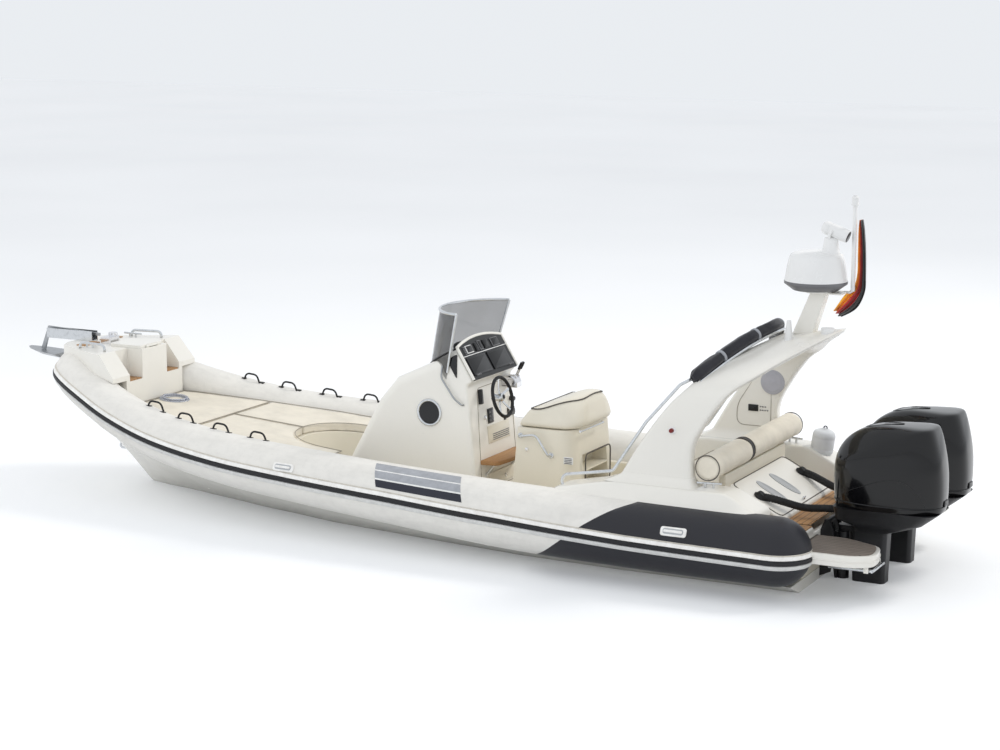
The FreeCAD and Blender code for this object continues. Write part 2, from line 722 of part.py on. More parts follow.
# Helm seat over the galley
seat_profile = [(v.seat_front, v.sole_height), (v.seat_front - 60, v.seat_top),
                (v.seat_front - v.seat_length + 60, v.seat_top),
                (v.seat_front - v.seat_length, v.sole_height)]
seat_body = profile_pad("seat_body", seat_profile, "-seat_half_width", "seat_half_width")
sink = block("galley_sink",
             ("seat_front - seat_length + galley_wall + 60", "-seat_half_width + galley_wall",
              "seat_top - galley_well"),
             ("seat_length - 2 * galley_wall - 120", "2 * (seat_half_width - galley_wall)",
              "galley_well + 5"))
shelf_room = block("shelf_room", ("seat_front - seat_length - 5", "-shelf_half_width", "shelf_floor"),
                   ("shelf_recess + 5", "2 * shelf_half_width", "shelf_roof - shelf_floor"))
seat_axis = ("seat_front - 33", "seat_top + 10")
seat_knuckles = []
for n, y in ((1, 170), (2, -230)):
    seat_knuckles.append(block(f"seat_knuckle_foot_{n}", ("seat_front - 66", y, "seat_top - 26"), (38, 60, 22)))
    seat_knuckles.append(block(f"seat_knuckle_neck_{n}", ("seat_front - 38", y, "seat_top - 20"), (10, 60, 30)))
    seat_knuckles.append(rod(f"seat_knuckle_{n}", "knuckle_radius - 1", 60, (seat_axis[0], y, seat_axis[1]),
                             Vector(0, 1, 0)))
shelf_board = block("shelf_board", ("seat_front - seat_length + 22", "-shelf_half_width",
                                    "(shelf_floor + shelf_roof) / 2"), ("shelf_recess - 10", "2 * shelf_half_width", 12))
helm_seat_cut = cut("helm_seat_cut", seat_body, sink, shelf_room)
keep("helm_seat_base", join("helm_seat_whole", helm_seat_cut, shelf_board, *seat_knuckles))
# Side outline of the lid and its bolsters, from the seat's front and top
LID_LINE = [(-45, 0), (-45, 45), (-130, 140), (-190, 165), (-500, 180), (-560, 145), (-565, 0)]
lid_profile = [(v.seat_front + x, v.seat_top + v.seat_gap + z) for x, z in LID_LINE]
seat_lid = profile_pad("galley_lid_body", lid_profile, "-seat_half_width - 5", "seat_half_width + 5")
CROWN_LINE = [(-180, 150), (-230, 215), (-320, 262), (-470, 268), (-540, 225), (-556, 130), (-540, 60), (-200, 60)]
crown_profile = [(v.seat_front + x, v.seat_top + v.seat_gap + z) for x, z in CROWN_LINE]
seat_crown = profile_pad("galley_lid_crown", crown_profile, "95 - seat_half_width", "seat_half_width - 95")
lid_knuckles = []
for n, y in ((1, 100), (2, -160)):
    lid_knuckles.append(rod(f"seat_lid_knuckle_{n}", "knuckle_radius - 1", 60, (seat_axis[0], y, seat_axis[1]),
                            Vector(0, 1, 0)))
    lid_knuckles.append(block(f"seat_lid_leaf_{n}", ("seat_front - 50", y, "seat_top + 5"), (17, 60, 10)))
keep("galley_lid", join("galley_lid_whole", seat_lid, seat_crown, *lid_knuckles))

# Side mouldings on the tubes, which carry the arch
moulding_profile = [(2140, 400), (2140, 640), (1650, v.moulding_top), (700, v.moulding_top), (420, 600),
                    (420, 400)]
moulding = loft([polygon([(x, v.moulding_inner, z) for x, z in moulding_profile]),
                 polygon([(x, v.moulding_outer - 110, z) for x, z in moulding_profile]),
                 polygon([(x, v.moulding_outer, min(z, 610)) for x, z in moulding_profile])])
moulding = moulding.cut(side_clear).cut(loft(deck_sections))
moulding = max(moulding.Solids, key=lambda solid: solid.Volume)
keep("side_mouldings", freeform("side_mouldings_shape", both_sides(moulding)))

# Radar arch: one hoop whose legs sweep aft into a crowned roof that points aft
# Corners of each section on the port side: front outer, rear outer, rear inner, front inner
ARCH_LINE = [
    ((1620, 1040, 738), (1000, 1040, 738), (1000, 900, 738), (1620, 900, 738)),
    ((1430, 1030, 1060), (1010, 1030, 1020), (1010, 900, 1020), (1430, 900, 1060)),
    ((1230, 1010, 1340), (920, 1010, 1220), (920, 890, 1220), (1230, 890, 1340)),
    ((1080, 950, 1510), (740, 970, 1470), (760, 860, 1440), (1080, 840, 1460)),
    ((1010, 800, 1590), (580, 860, 1600), (600, 800, 1560), (1000, 740, 1520)),
    ((900, 500, 1690), (400, 480, 1735), (420, 460, 1690), (890, 470, 1610)),
    ((700, 0, 1800), (150, 0, 1885), (170, 0, 1850), (700, 0, 1700)),
]


def arch_hoop(grow=0.0):
    """The whole hoop, its corners moved out by a clearance."""
    sections = []
    for row in ARCH_LINE:
        corners = [Vector(x, y, z + v.moulding_top - ARCH_LINE[0][0][2]) for x, y, z in row]
        moved = []
        for index, corner in enumerate(corners):
            before = corner - corners[index - 1]
            after = corner - corners[(index + 1) % 4]
            moved.append(corner + before.normalize() * grow + after.normalize() * grow)
        sections.append(polygon([tuple(corner) for corner in moved]))
    far = [mirrored(section) for section in reversed(sections[:-1])]
    return loft(sections + far)


arch = arch_hoop()
arch_clear = arch_hoop(v.seat_gap)
keep("arch", freeform("arch_shape", arch))

# Rolled bimini top along the roof's front edge
near_roll = [(1050, 925, 1562), (930, 600, 1704), (800, 300, 1822)]
roll_line = near_roll + [(700, 0, 1882)] + [(x, -y, z) for x, y, z in reversed(near_roll)]
bimini_roll = bent_tube(roll_line, v.bimini_radius, 260)
bimini_roll = bimini_roll.cut(arch_clear)
bimini_roll = max(bimini_roll.Solids, key=lambda solid: solid.Volume)
keep("bimini", freeform("bimini_shape", bimini_roll))

# Mast gear on the arch
plate_z = v.radome_base_z - v.seat_gap
crown = v.roof_crown
pylon = loft([polygon([(x, y, crown - 60) for x, y in ((560, 62), (398, 62), (398, -62), (560, -62))]),
              polygon([(x, y, plate_z - 10) for x, y in ((426, 48), (296, 48), (296, -48), (426, -48))])])
pylon_plate = Part.makeBox(285, 180, 12, Vector(160, -90, plate_z - 12))
pylon = pylon.fuse(pylon_plate).cut(arch)
pylon = max(pylon.Solids, key=lambda solid: solid.CenterOfMass.z)
keep("radar_pylon", freeform("radar_pylon_shape", pylon))
radome_axis = Vector(v.radome_x, 0, v.radome_base_z)
dome_points = [(0, 0), (150, 0), (190, 26), (v.radome_radius, 62), (v.radome_radius - 4, 92),
               (212, 265), (186, 296), (140, v.radome_height), (0, v.radome_height)]
dome = Part.Face(Part.makePolygon([Vector(r, 0, z) for r, z in dome_points] + [Vector()]))
dome = dome.revolve(Vector(), Vector(0, 0, 1), 360)
dome.translate(radome_axis)
keep("radome", freeform("radome_shape", dome))
camera_z = v.radome_base_z + v.radome_height
camera = Part.makeCone(72, 52, 130, Vector(285, 0, camera_z - 20)).fuse(
    Part.makeCylinder(52, 220, Vector(352, 0, camera_z + 196), Vector(-1, 0, -0.36)))
camera = camera.cut(dome)
camera = max(camera.Solids, key=lambda solid: solid.Volume)
keep("searchlight", freeform("searchlight_shape", camera))
cone_aerial = Part.makeCone(42, 16, 215, Vector(540, 200, crown - 150))
puck = Part.makeCylinder(52, 60, Vector(260, 95, crown - 50))
aerials = [max(item.cut(arch_clear).Solids, key=lambda solid: solid.CenterOfMass.z) for item in (cone_aerial, puck)]
keep("aerials", freeform("aerials_shape", Part.makeCompound(aerials)))
# Light mast and flagstaff on a bent bracket behind the radome's plate
bracket = bent_tube([(190, -60, plate_z - 6), (118, -60, plate_z - 6), (118, -60, plate_z + 110)], 10, 30)
bracket = bracket.cut(pylon)
light_mast = Part.makeCylinder(17, 745, Vector(118, -60, plate_z + 5))
staff = Part.makeCylinder(6, 640, Vector(92, -60, plate_z - 40), Vector(-0.05, 0, 1))
mast_gear = bracket.fuse(light_mast).fuse(staff)
mast_gear = max(mast_gear.Solids, key=lambda solid: solid.Volume)
keep("flagstaff", freeform("flagstaff_shape", mast_gear))
flag_face = Part.Face(polygon([(84, -79, crown + 850), (62, -79, crown + 820), (38, -79, crown + 320),
                               (110, -79, crown + 165), (275, -79, crown + 70), (200, -79, crown + 250),
                               (92, -79, crown + 330)]))
flag = flag_face.extrude(Vector(0, 12, 0))
staff_clear = Part.makeCylinder(6.3, 700, Vector(94.4, -60, plate_z - 88), Vector(-0.05, 0, 1))
mast_clear = Part.makeCylinder(17.3, 760, Vector(118, -60, plate_z - 3))
bracket_clear = bent_tube([(200, -60, plate_z - 6), (118, -60, plate_z - 6), (118, -60, plate_z + 110)], 10.3, 30)
flag = flag.cut(staff_clear).cut(mast_clear).cut(bracket_clear)
flag = flag.cut(Part.makeBox(300, 190, 22, Vector(152, -95, plate_z - 17)))
flag = max(flag.Solids, key=lambda solid: solid.Volume)
keep("flag", freeform("flag_shape", flag))

# Stern bench
bench_back = block("bench_back", ("bench_start", "-bench_half_width", "sole_height"),
                   (60, "2 * bench_half_width", "roll_z - roll_radius - seat_gap - sole_height"))
bench_box = block("bench_box", ("bench_start + 60", "-bench_half_width", "sole_height"),
                  ("bench_length - 60", "2 * bench_half_width", "bench_top - sole_height"))
keep("bench_base", join("bench_base_whole", bench_back, bench_box))
keep("bench_cushion", block("bench_cushion_block",
                            ("bench_start + 66", "-bench_half_width + 5", "bench_top + seat_gap"),
                            ("bench_length - 70", "2 * bench_half_width - 10", "bench_cushion")))
rolls = [rod(f"roll_{n}", "roll_radius", reach, ("roll_x", y, "roll_z"), Vector(0, way, 0))
         for n, y, way, reach in ((1, 205, 1, "bench_half_width + 75"), (2, 197, -1, "bench_half_width + 477"))]
keep("bench_backrest", join("bench_backrest_whole", *rolls))

# Stern deck with the motor well
stern_profile = [(v.stern_plane, v.sole_height), (v.stern_plane, v.transom_top),
                 (v.stern_plane + v.transom_thickness, v.transom_top),
                 (v.stern_plane + v.transom_thickness, v.well_floor), (400, v.well_floor), (400, 470),
                 (v.bench_start - 1, 700), (v.bench_start - 1, v.sole_height)]
stern_body = profile_pad("stern_body", stern_profile, "-well_half", "well_half")
side_decks = [block(f"stern_side_{n}", ("stern_plane", y, "sole_height"),
                    ("bench_start - stern_plane - 1", 185, "aft_deck_top - sole_height"))
              for n, y in ((1, "well_half"), (2, "-well_half - 185"))]
keep("stern_deck", join("stern_deck_whole", stern_body, *side_decks))

# Bathing platforms and the ladder under the port one
platform_size = ("swim_platform_fore - swim_platform_aft", "swim_platform_outer - swim_platform_inner",
                 "swim_platform_thickness")
swim_low = "swim_platform_top - swim_platform_thickness"
swim_arm = [block(f"swim_arm_{n}", ("swim_platform_fore - 60", y, "swim_platform_top - 60"),
                  ("stern_plane - swim_platform_fore + 60", 60, 45)) for n, y in ((1, 640), (2, -700))]
swim_ears = [block(f"swim_ear_{n}", ("swim_platform_aft", f"ladder_y + {way} * (ladder_half_width + 18) - 4",
                                     "swim_platform_top - swim_platform_thickness - 48"), (36, 8, 48))
             for n, way in ((1, 1), (2, -1))]
swim = [block("swim_port", ("swim_platform_aft", "swim_platform_inner", swim_low), platform_size),
        block("swim_starboard", ("swim_platform_aft", "-swim_platform_outer", swim_low), platform_size)]
keep("bathing_platforms", join("bathing_platforms_whole", *swim, *swim_arm, *swim_ears))
ladder_y = v.ladder_y
ladder_z = v.swim_platform_top - v.swim_platform_thickness - 30
ladder_rails = [Part.makeCylinder(v.ladder_tube, v.ladder_length,
                                  Vector(v.swim_platform_aft + 15, ladder_y + y, ladder_z), Vector(1, 0, 0))
                for y in (-v.ladder_half_width, v.ladder_half_width)]
pivot_reach = v.ladder_half_width + 14
rungs = [Part.makeCylinder(v.ladder_tube, 2 * reach,
                           Vector(v.swim_platform_aft + 15 + along, ladder_y - reach, ladder_z),
                           Vector(0, 1, 0))
         for along, reach in ((3, pivot_reach), (110, v.ladder_half_width), (218, v.ladder_half_width),
                              (325, v.ladder_half_width))]
ladder = ladder_rails[0].multiFuse(ladder_rails[1:] + rungs)
keep("ladder", freeform("ladder_shape", ladder))


# Outboard engines
def plan_outline(low_x, high_x, half_width, corner, z, middle_y):
    wire = polygon([(high_x, middle_y - half_width, z), (high_x, middle_y + half_width, z),
                    (low_x, middle_y + half_width, z), (low_x, middle_y - half_width, z)])
    return rounded(wire, corner)


def cowl_section(x, middle_y, half_width, low, high, corner):
    """Section across the cowl: flat below, its two upper corners rounded."""
    left = middle_y - half_width
    right = middle_y + half_width
    cut_in = corner * (1 - math.sqrt(0.5))
    corners = [(right, low), (right, high - corner), (right - corner, high), (left + corner, high),
               (left, high - corner), (left, low)]
    points = [Vector(x, y, z) for y, z in corners]
    right_arc = Part.Arc(points[1], Vector(x, right - cut_in, high - cut_in), points[2])
    left_arc = Part.Arc(points[3], Vector(x, left + cut_in, high - cut_in), points[4])
    return Part.Wire([Part.LineSegment(points[0], points[1]).toShape(), right_arc.toShape(),
                      Part.LineSegment(points[2], points[3]).toShape(), left_arc.toShape(),
                      Part.LineSegment(points[4], points[5]).toShape(),
                      Part.LineSegment(points[5], points[0]).toShape()])


# Upper cowl: x, top z, half-width, corner radius
COWL_LINE = [
    (68, 940, 140, 70),
    (30, 1050, 195, 85),
    (-50, 1140, 235, 100),
    (-200, 1210, 262, 115),
    (-420, 1250, 268, 120),
    (-620, 1245, 255, 120),
    (-740, 1185, 220, 110),
    (-800, 1080, 165, 90),
]
# Lower cowl and leg: z, aft x, fore x, half-width, corner radius
LEG_LINE = [
    (600, -775, 48, 238, 110),
    (495, -640, 34, 186, 88),
    (440, -500, -84, 118, 54),
    (395, -362, -86, 82, 38),
    (60, -350, -90, 78, 35),
    (-255, -350, -100, 66, 30),
]


def engine(middle_y, name):
    cowl = loft([cowl_section(x, middle_y, w, v.cowl_line_z, high, corner) for x, high, w, corner in COWL_LINE])
    keep(f"cowl_{name}", freeform(f"cowl_{name}_shape", cowl))
    leg = loft([plan_outline(low_x, high_x, w, corner, z, middle_y)
                for z, low_x, high_x, w, corner in LEG_LINE])
    plate = loft([plan_outline(-560, -90, 118, 58, z, middle_y) for z in (-267, -255)])
    strut = loft([plan_outline(-340, -130, 34, 30, -267, middle_y),
                  plan_outline(-340, -130, 34, 30, v.shaft_z, middle_y)])
    torpedo = Part.makeCylinder(v.gearcase_radius, 290, Vector(-400, middle_y, v.shaft_z), Vector(1, 0, 0))
    torpedo = torpedo.fuse(Part.makeCone(v.gearcase_radius, 12, 90, Vector(-110, middle_y, v.shaft_z),
                                         Vector(1, 0, 0)))
    skeg = loft([plan_outline(-350, -150, 9, 8, v.shaft_z - 50, middle_y),
                 plan_outline(-370, -290, 6, 5, v.shaft_z - 230, middle_y)])
    # Arms that carry the leg above and below the steering tube
    arms = []
    for low_z, height in ((v.swivel_top + 6, 46), (v.swivel_bottom - 46, 40)):
        arms.append(Part.makeBox(v.steer_axis_x + 130, 84, height, Vector(-130, middle_y - 42, low_z)))
        arms.append(Part.makeCylinder(42, height, Vector(v.steer_axis_x, middle_y, low_z)))
    pin = Part.makeCylinder(14, v.swivel_top - v.swivel_bottom + 60,
                            Vector(v.steer_axis_x, middle_y, v.swivel_bottom - 26))
    hub_face = v.propeller_x + v.hub_length / 2
    shaft = Part.makeCylinder(20, -395 - hub_face, Vector(hub_face, middle_y, v.shaft_z), Vector(1, 0, 0))
    whole = leg.multiFuse([plate, strut, torpedo, skeg, shaft, pin] + arms)
    keep(f"leg_{name}", freeform(f"leg_{name}_shape", whole))

    # Swivel bracket: the upright steering tube and the arms to the tilt tube
    tube = Part.makeCylinder(v.swivel_radius, v.swivel_top - v.swivel_bottom,
                             Vector(v.steer_axis_x, middle_y, v.swivel_bottom))
    arm = Part.Face(polygon([(30, middle_y - 50, 366), (30, middle_y - 50, -40), (44, middle_y - 50, -40),
                             (122, middle_y - 50, 440), (100, middle_y - 50, 474),
                             (78, middle_y - 50, 452), (54, middle_y - 50, 372)]))
    arm = arm.extrude(Vector(0, 100, 0))
    tilt_tube = Part.makeCylinder(v.tilt_tube_radius, 2 * v.clamp_half_span,
                                  Vector(v.tilt_axis_x, middle_y - v.clamp_half_span, v.tilt_axis_z),
                                  Vector(0, 1, 0))
    bore = Part.makeCylinder(14.1, 900, Vector(v.steer_axis_x, middle_y, v.swivel_bottom - 100))
    swivel = tube.multiFuse([arm, tilt_tube]).cut(bore)
    keep(f"swivel_{name}", freeform(f"swivel_{name}_shape", swivel))

    # Propeller: hub and twisted blades
    hub_start = v.propeller_x - v.hub_length / 2
    prop = Part.makeCylinder(v.gearcase_radius - 4, v.hub_length, Vector(hub_start, middle_y, v.shaft_z),
                             Vector(1, 0, 0))
    blades = int(v.propeller_blades)
    for number in range(blades):
        sections = []
        for radius, chord, pitch in ((45, 95, 38), (110, 150, 58), (v.propeller_radius, 90, 70)):
            angle = math.radians(pitch)
            along = Vector(math.cos(angle), math.sin(angle), 0) * (chord / 2)
            across = Vector(-math.sin(angle), math.cos(angle), 0) * 3.5
            corners = [along, across, -along, -across]
            wire = polygon([tuple(c + Vector(0, 0, radius)) for c in corners])
            sections.append(wire)
        blade = loft(sections)
        blade.rotate(Vector(), Vector(1, 0, 0), number * 360 / blades)
        blade.translate(Vector(v.propeller_x, middle_y, v.shaft_z))
        prop = prop.fuse(blade)
    keep(f"propeller_{name}", freeform(f"propeller_{name}_shape", prop))


brackets = []
for side_sign, name in ((1, "port"), (-1, "starboard")):
    middle = side_sign * v.engine_spacing / 2
    engine(middle, name)
    for away in (v.clamp_half_span, -v.clamp_half_span - v.clamp_thickness):
        plate = Part.Face(polygon([(v.stern_plane - 0, middle + away, 20), (62, middle + away, 60),
                                   (44, middle + away, 380), (82, middle + away, 473),
                                   (116, middle + away, 473), (v.stern_plane, middle + away, 391),
                                   ])).extrude(Vector(0, v.clamp_thickness, 0))
        brackets.append(plate)
keep("clamp_brackets", freeform("clamp_brackets_shape", Part.makeCompound(brackets)))

document.recompute()

# Rigging conduits from the bench locker to the engines
conduits = [bent_tube([(760, s * 500, 606), (560, s * 480, 596), (310, s * 385, 532), (47, s * 350, 532)],
                      v.conduit_radius, 150).cut(stern_body.Shape) for s in (1, -1)]
keep("conduits", freeform("conduits_shape", Part.makeCompound(conduits)))

# Steel rails
rail_radius = 12.5
side_rail = bent_tube([(2080, 1000, 630), (2135, 1000, 720), (1665, 1000, 800), (1390, 1000, 1212),
                       (1130, 965, 1518), (1052, 930, 1562)], rail_radius, 60)
roll_clear = bent_tube(roll_line, v.bimini_radius + v.seat_gap, 260)
side_rail = side_rail.cut(moulding).cut(roll_clear).cut(arch_clear)
side_rail = max(side_rail.Solids, key=lambda solid: solid.Volume)
bow_rail = bent_tube([(6870, 440, v.platform_top), (6870, 440, 1305), (7170, 395, 1305),
                      (7170, 395, v.platform_top)], rail_radius, 40)
keep("grab_rails", freeform("grab_rails_shape",
                            Part.makeCompound([both_sides(side_rail), both_sides(bow_rail)])))

# Rope grab loops on the tubes
loops = []
loop_lean = 0.15
for x in (4935, 5340, 5740, 6100):
    _, y, z, radius, heading = line_at(TUBE_LINE, x)
    y_loop = y - radius * loop_lean
    z_loop = z + radius * math.cos(math.asin(loop_lean)) + 4
    loop = bent_tube([(x - 85, y_loop, z_loop - 45), (x - 60, y_loop, z_loop + 45),
                      (x + 60, y_loop, z_loop + 55), (x + 85, y_loop, z_loop - 25)], v.loop_radius, 25)
    loop = max(loop.cut(side_clear).Solids, key=lambda solid: solid.Volume)
    loops.append(both_sides(loop))
keep("grab_loops", freeform("grab_loops_shape", Part.makeCompound(loops)))

# Carry handles on the tubes' outer faces
handles = []
for x in (4480, 1000):
    _, y, z, radius, heading = line_at(TUBE_LINE, x)
    handle = Part.makeBox(210, 34, 66, Vector(-105, -10, -33))
    handle.rotate(Vector(), Vector(1, 0, 0), v.handle_lift)
    handle.rotate(Vector(), Vector(0, 0, 1), -heading)
    lift = math.radians(v.handle_lift)
    handle.translate(Vector(x, y + radius * math.cos(lift), z + radius * math.sin(lift)))
    handle = handle.cut(side_clear)
    handles.append(both_sides(max(handle.Solids, key=lambda solid: solid.Volume)))
keep("carry_handles", freeform("carry_handles_shape", Part.makeCompound(handles)))

# Fender on the starboard quarter and the rope coil at the bow
fender = Part.makeCylinder(v.fender_radius, v.fender_length, Vector(640, -930, 560), Vector(-0.15, 0, 1))
fender = fender.cut(mirrored(side_clear)).cut(mirrored(moulding))
keep("fender", freeform("fender_shape", max(fender.Solids, key=lambda solid: solid.Volume)))
coil_slope = math.atan2(cushion_top(6600) - cushion_top(6340), 260)
coil_axis = Vector(-math.sin(coil_slope), 0, math.cos(coil_slope))
coil = Part.makeTorus(110, 30, Vector(6470, -60, cushion_top(6470)) + coil_axis * 30.3, coil_axis)
keep("rope_coil", freeform("rope_coil_shape", coil))

document.recompute()
for item in document.Objects:
    if "Invalid" in item.State or "Error" in item.State:
        raise RuntimeError(f"{item.Label} failed: {item.State}")
os.makedirs("parts", exist_ok=True)
for name, item in finished.items():
    if item.Shape.isNull() or not item.Shape.isValid():
        raise RuntimeError(f"{name} has no valid shape")
for name, item in finished.items():
    item.Shape.exportStep(f"parts/{name}.step")
    box = item.Shape.BoundBox
    print(f"{name}: {len(item.Shape.Solids)} solids, {item.Shape.Volume / 1e9:.4f} m3,"
          f" x {box.XMin:.0f}..{box.XMax:.0f} y {box.YMin:.0f}..{box.YMax:.0f} z {box.ZMin:.0f}..{box.ZMax:.0f}")
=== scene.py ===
import math

import bmesh
import bpy
from mathutils import Matrix, Vector
from mathutils import noise


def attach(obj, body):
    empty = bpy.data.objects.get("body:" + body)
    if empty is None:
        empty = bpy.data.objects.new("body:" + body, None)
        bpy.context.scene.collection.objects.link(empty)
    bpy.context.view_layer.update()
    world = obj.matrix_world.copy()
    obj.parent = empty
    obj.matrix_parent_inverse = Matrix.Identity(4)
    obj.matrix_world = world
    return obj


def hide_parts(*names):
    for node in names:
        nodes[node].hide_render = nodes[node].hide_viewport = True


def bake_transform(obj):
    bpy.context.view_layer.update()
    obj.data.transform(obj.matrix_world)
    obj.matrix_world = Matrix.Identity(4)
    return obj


# Looks of a rigid inflatable boat afloat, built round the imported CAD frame.
# Metres. +X points to the bow, +Y to port, +Z up, and the water lies at Z = 0.

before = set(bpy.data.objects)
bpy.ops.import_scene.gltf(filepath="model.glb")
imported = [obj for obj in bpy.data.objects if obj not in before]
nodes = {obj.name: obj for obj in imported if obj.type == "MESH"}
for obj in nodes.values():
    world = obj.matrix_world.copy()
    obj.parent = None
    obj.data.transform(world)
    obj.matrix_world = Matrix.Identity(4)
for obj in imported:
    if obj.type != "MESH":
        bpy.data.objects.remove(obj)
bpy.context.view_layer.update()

BOAT = "boat"
SIDES = ((1, "port"), (-1, "starboard"))
AHEAD = Vector((1, 0, 0))
PORT = Vector((0, 1, 0))
UP = Vector((0, 0, 1))
STEPS = 8                       # rings between two rows of a smooth table
ROUND = 40                      # points round a smooth tube


# Camera, from the photograph's viewing angle
CAMERA_PLACE = Vector((-5.2113, 16.8031, 4.6331))
CAMERA_YAW = math.radians(26.43123)
CAMERA_PITCH = math.radians(10.15224)
CAMERA_ROLL = math.radians(0.18046)
SENSOR_WIDTH = 36.0
FOCAL_SHARE = 2.2732            # focal length over the picture's width
FARTHEST_SEEN = 200


def in_scene(name, data):
    """A new object, linked to the scene."""
    thing = bpy.data.objects.new(name, data)
    bpy.context.scene.collection.objects.link(thing)
    return thing


def make_camera():
    ahead = Vector((math.sin(CAMERA_YAW) * math.cos(CAMERA_PITCH),
                    -math.cos(CAMERA_YAW) * math.cos(CAMERA_PITCH),
                    -math.sin(CAMERA_PITCH)))
    right = ahead.cross(UP).normalized()
    up = right.cross(ahead)
    turned_right = right * math.cos(CAMERA_ROLL) + up * math.sin(CAMERA_ROLL)
    turned_up = up * math.cos(CAMERA_ROLL) - right * math.sin(CAMERA_ROLL)
    data = bpy.data.cameras.new("camera")
    data.sensor_width = SENSOR_WIDTH
    data.lens = SENSOR_WIDTH * FOCAL_SHARE
    data.clip_end = FARTHEST_SEEN
    camera = in_scene("camera", data)
    columns = Matrix((turned_right, turned_up, -ahead)).transposed()
    camera.matrix_world = Matrix.Translation(CAMERA_PLACE) @ columns.to_4x4()
    bpy.context.scene.camera = camera


# Materials
def linear(colour):
    """Scene-linear value of a colour written as it looks on a screen."""
    def channel(c):
        return c / 12.92 if c <= 0.04045 else ((c + 0.055) / 1.055) ** 2.4
    return tuple(channel(c) for c in colour) + (1.0,)


def shade(colour, share, lift=0.0, most=1.0):
    """A colour made darker or lighter."""
    return tuple(min(most, c * share + lift) for c in colour)


class Nodes:
    """Short names for building one material's nodes."""

    def __init__(self, name):
        self.material = bpy.data.materials.new(name)
        self.material.use_nodes = True
        self.tree = self.material.node_tree
        self.place = self.tree.nodes.new("ShaderNodeTexCoord").outputs["Object"]

    def feed(self, node, key, value):
        socket = node.inputs[key]
        if isinstance(value, bpy.types.NodeSocket):
            self.tree.links.new(value, socket)
        else:
            socket.default_value = value

    def feed_all(self, node, inputs):
        for key, value in inputs.items():
            self.feed(node, key.replace("_", " "), value)
        return node

    def add(self, kind, **inputs):
        return self.feed_all(self.tree.nodes.new(kind), inputs)

    def finish(self, **inputs):
        """Feeds the shader and gives the finished material."""
        self.feed_all(self.tree.nodes["Principled BSDF"], inputs)
        return self.material

    def stretch(self, *scale):
        return self.add("ShaderNodeMapping", Vector=self.place, Scale=scale).outputs["Vector"]

    def noise(self, scale, detail=4.0, roughness=0.55, place=None):
        return self.add("ShaderNodeTexNoise", Vector=place or self.place, Scale=scale, Detail=detail,
                        Roughness=roughness).outputs["Fac"]

    def cells(self, scale):
        return self.add("ShaderNodeTexVoronoi", Vector=self.place, Scale=scale).outputs["Distance"]

    def ramp(self, fac, *stops):
        node = self.add("ShaderNodeValToRGB", Fac=fac)
        elements = node.color_ramp.elements
        while len(elements) < len(stops):
            elements.new(0.5)
        for element, (position, colour) in zip(elements, stops):
            element.position = position
            element.color = colour if len(colour) == 4 else linear(colour)
        return node.outputs["Color"]

    def span(self, fac, low, high):
        return self.add("ShaderNodeMapRange", Value=fac, To_Min=low, To_Max=high).outputs["Result"]

    def math(self, operation, first, second):
        node = self.tree.nodes.new("ShaderNodeMath")
        node.operation = operation
        self.feed(node, 0, first)
        self.feed(node, 1, second)
        return node.outputs[0]

    def mix(self, fac, first, second):
        node = self.tree.nodes.new("ShaderNodeMix")
        node.data_type = "RGBA"
        for place, value in ((0, fac), (6, first), (7, second)):
            self.feed(node, place, value)
        return node.outputs[2]

    def bump(self, height, distance, strength, normal=None):
        inputs = {"Height": height, "Strength": strength, "Distance": distance}
        if normal is not None:
            inputs["Normal"] = normal
        return self.add("ShaderNodeBump", **inputs).outputs["Normal"]

    def caulking(self, axis, plank, dark, light):
        """Joints between planks of one width: black at a joint and white on the plank."""
        across = self.add("ShaderNodeSeparateXYZ", Vector=self.place).outputs[axis]
        shifted = self.math("ADD", self.math("DIVIDE", across, plank), 100.0)
        part = self.math("FRACT", shifted, 0.0)
        edge = self.math("MINIMUM", part, self.math("SUBTRACT", 1.0, part))
        return self.ramp(edge, (dark, (0, 0, 0, 1)), (light, (1, 1, 1, 1)))


def gelcoat(name, colour, roughness=0.24, grime=0.02):
    """Moulded glass-fibre: faint mottling, a little grime, orange-peel bump."""
    n = Nodes(name)
    base = n.ramp(n.noise(1.6, 6.0), (0.3, shade(colour, 1 - grime)), (0.62, colour))
    spots = n.ramp(n.noise(24.0), (0.25, shade(colour, 0.992)), (0.6, colour))
    return n.finish(Base_Color=n.mix(0.4, base, spots),
                    Roughness=n.span(n.noise(4.0), roughness - 0.03, roughness + 0.06),
                    Normal=n.bump(n.noise(110.0, 2.0), 0.0004, 0.12),
                    Coat_Weight=0.25, Coat_Roughness=0.12)


def coated_fabric(name, colour, roughness=0.52):
    """Inflated tube cloth: a woven base under rubber, soft creases and handling marks."""
    n = Nodes(name)
    creases = n.noise(3.0, 5.0, 0.6, n.stretch(1.0, 3.0, 3.0))
    marks = n.noise(14.0, 6.0, 0.65)
    dull = n.ramp(creases, (0.3, shade(colour, 0.93)), (0.6, colour))
    stain = n.ramp(marks, (0.35, shade(colour, 0.955)), (0.55, colour))
    weave = n.bump(n.cells(420.0), 0.0004, 0.25)
    return n.finish(Base_Color=n.mix(0.5, dull, stain),
                    Roughness=n.span(marks, roughness - 0.08, roughness + 0.1),
                    Normal=n.bump(creases, 0.004, 0.35, weave), Sheen_Weight=0.08)


def vinyl(name, colour):
    """Upholstery vinyl with a fine leather grain."""
    n = Nodes(name)
    soft = n.noise(5.0, 5.0, 0.6)
    grain = n.bump(n.cells(260.0), 0.0005, 0.35)
    return n.finish(Base_Color=n.ramp(soft, (0.28, shade(colour, 0.93)), (0.62, colour)),
                    Roughness=n.span(n.noise(30.0), 0.42, 0.6), Normal=n.bump(soft, 0.006, 0.3, grain))


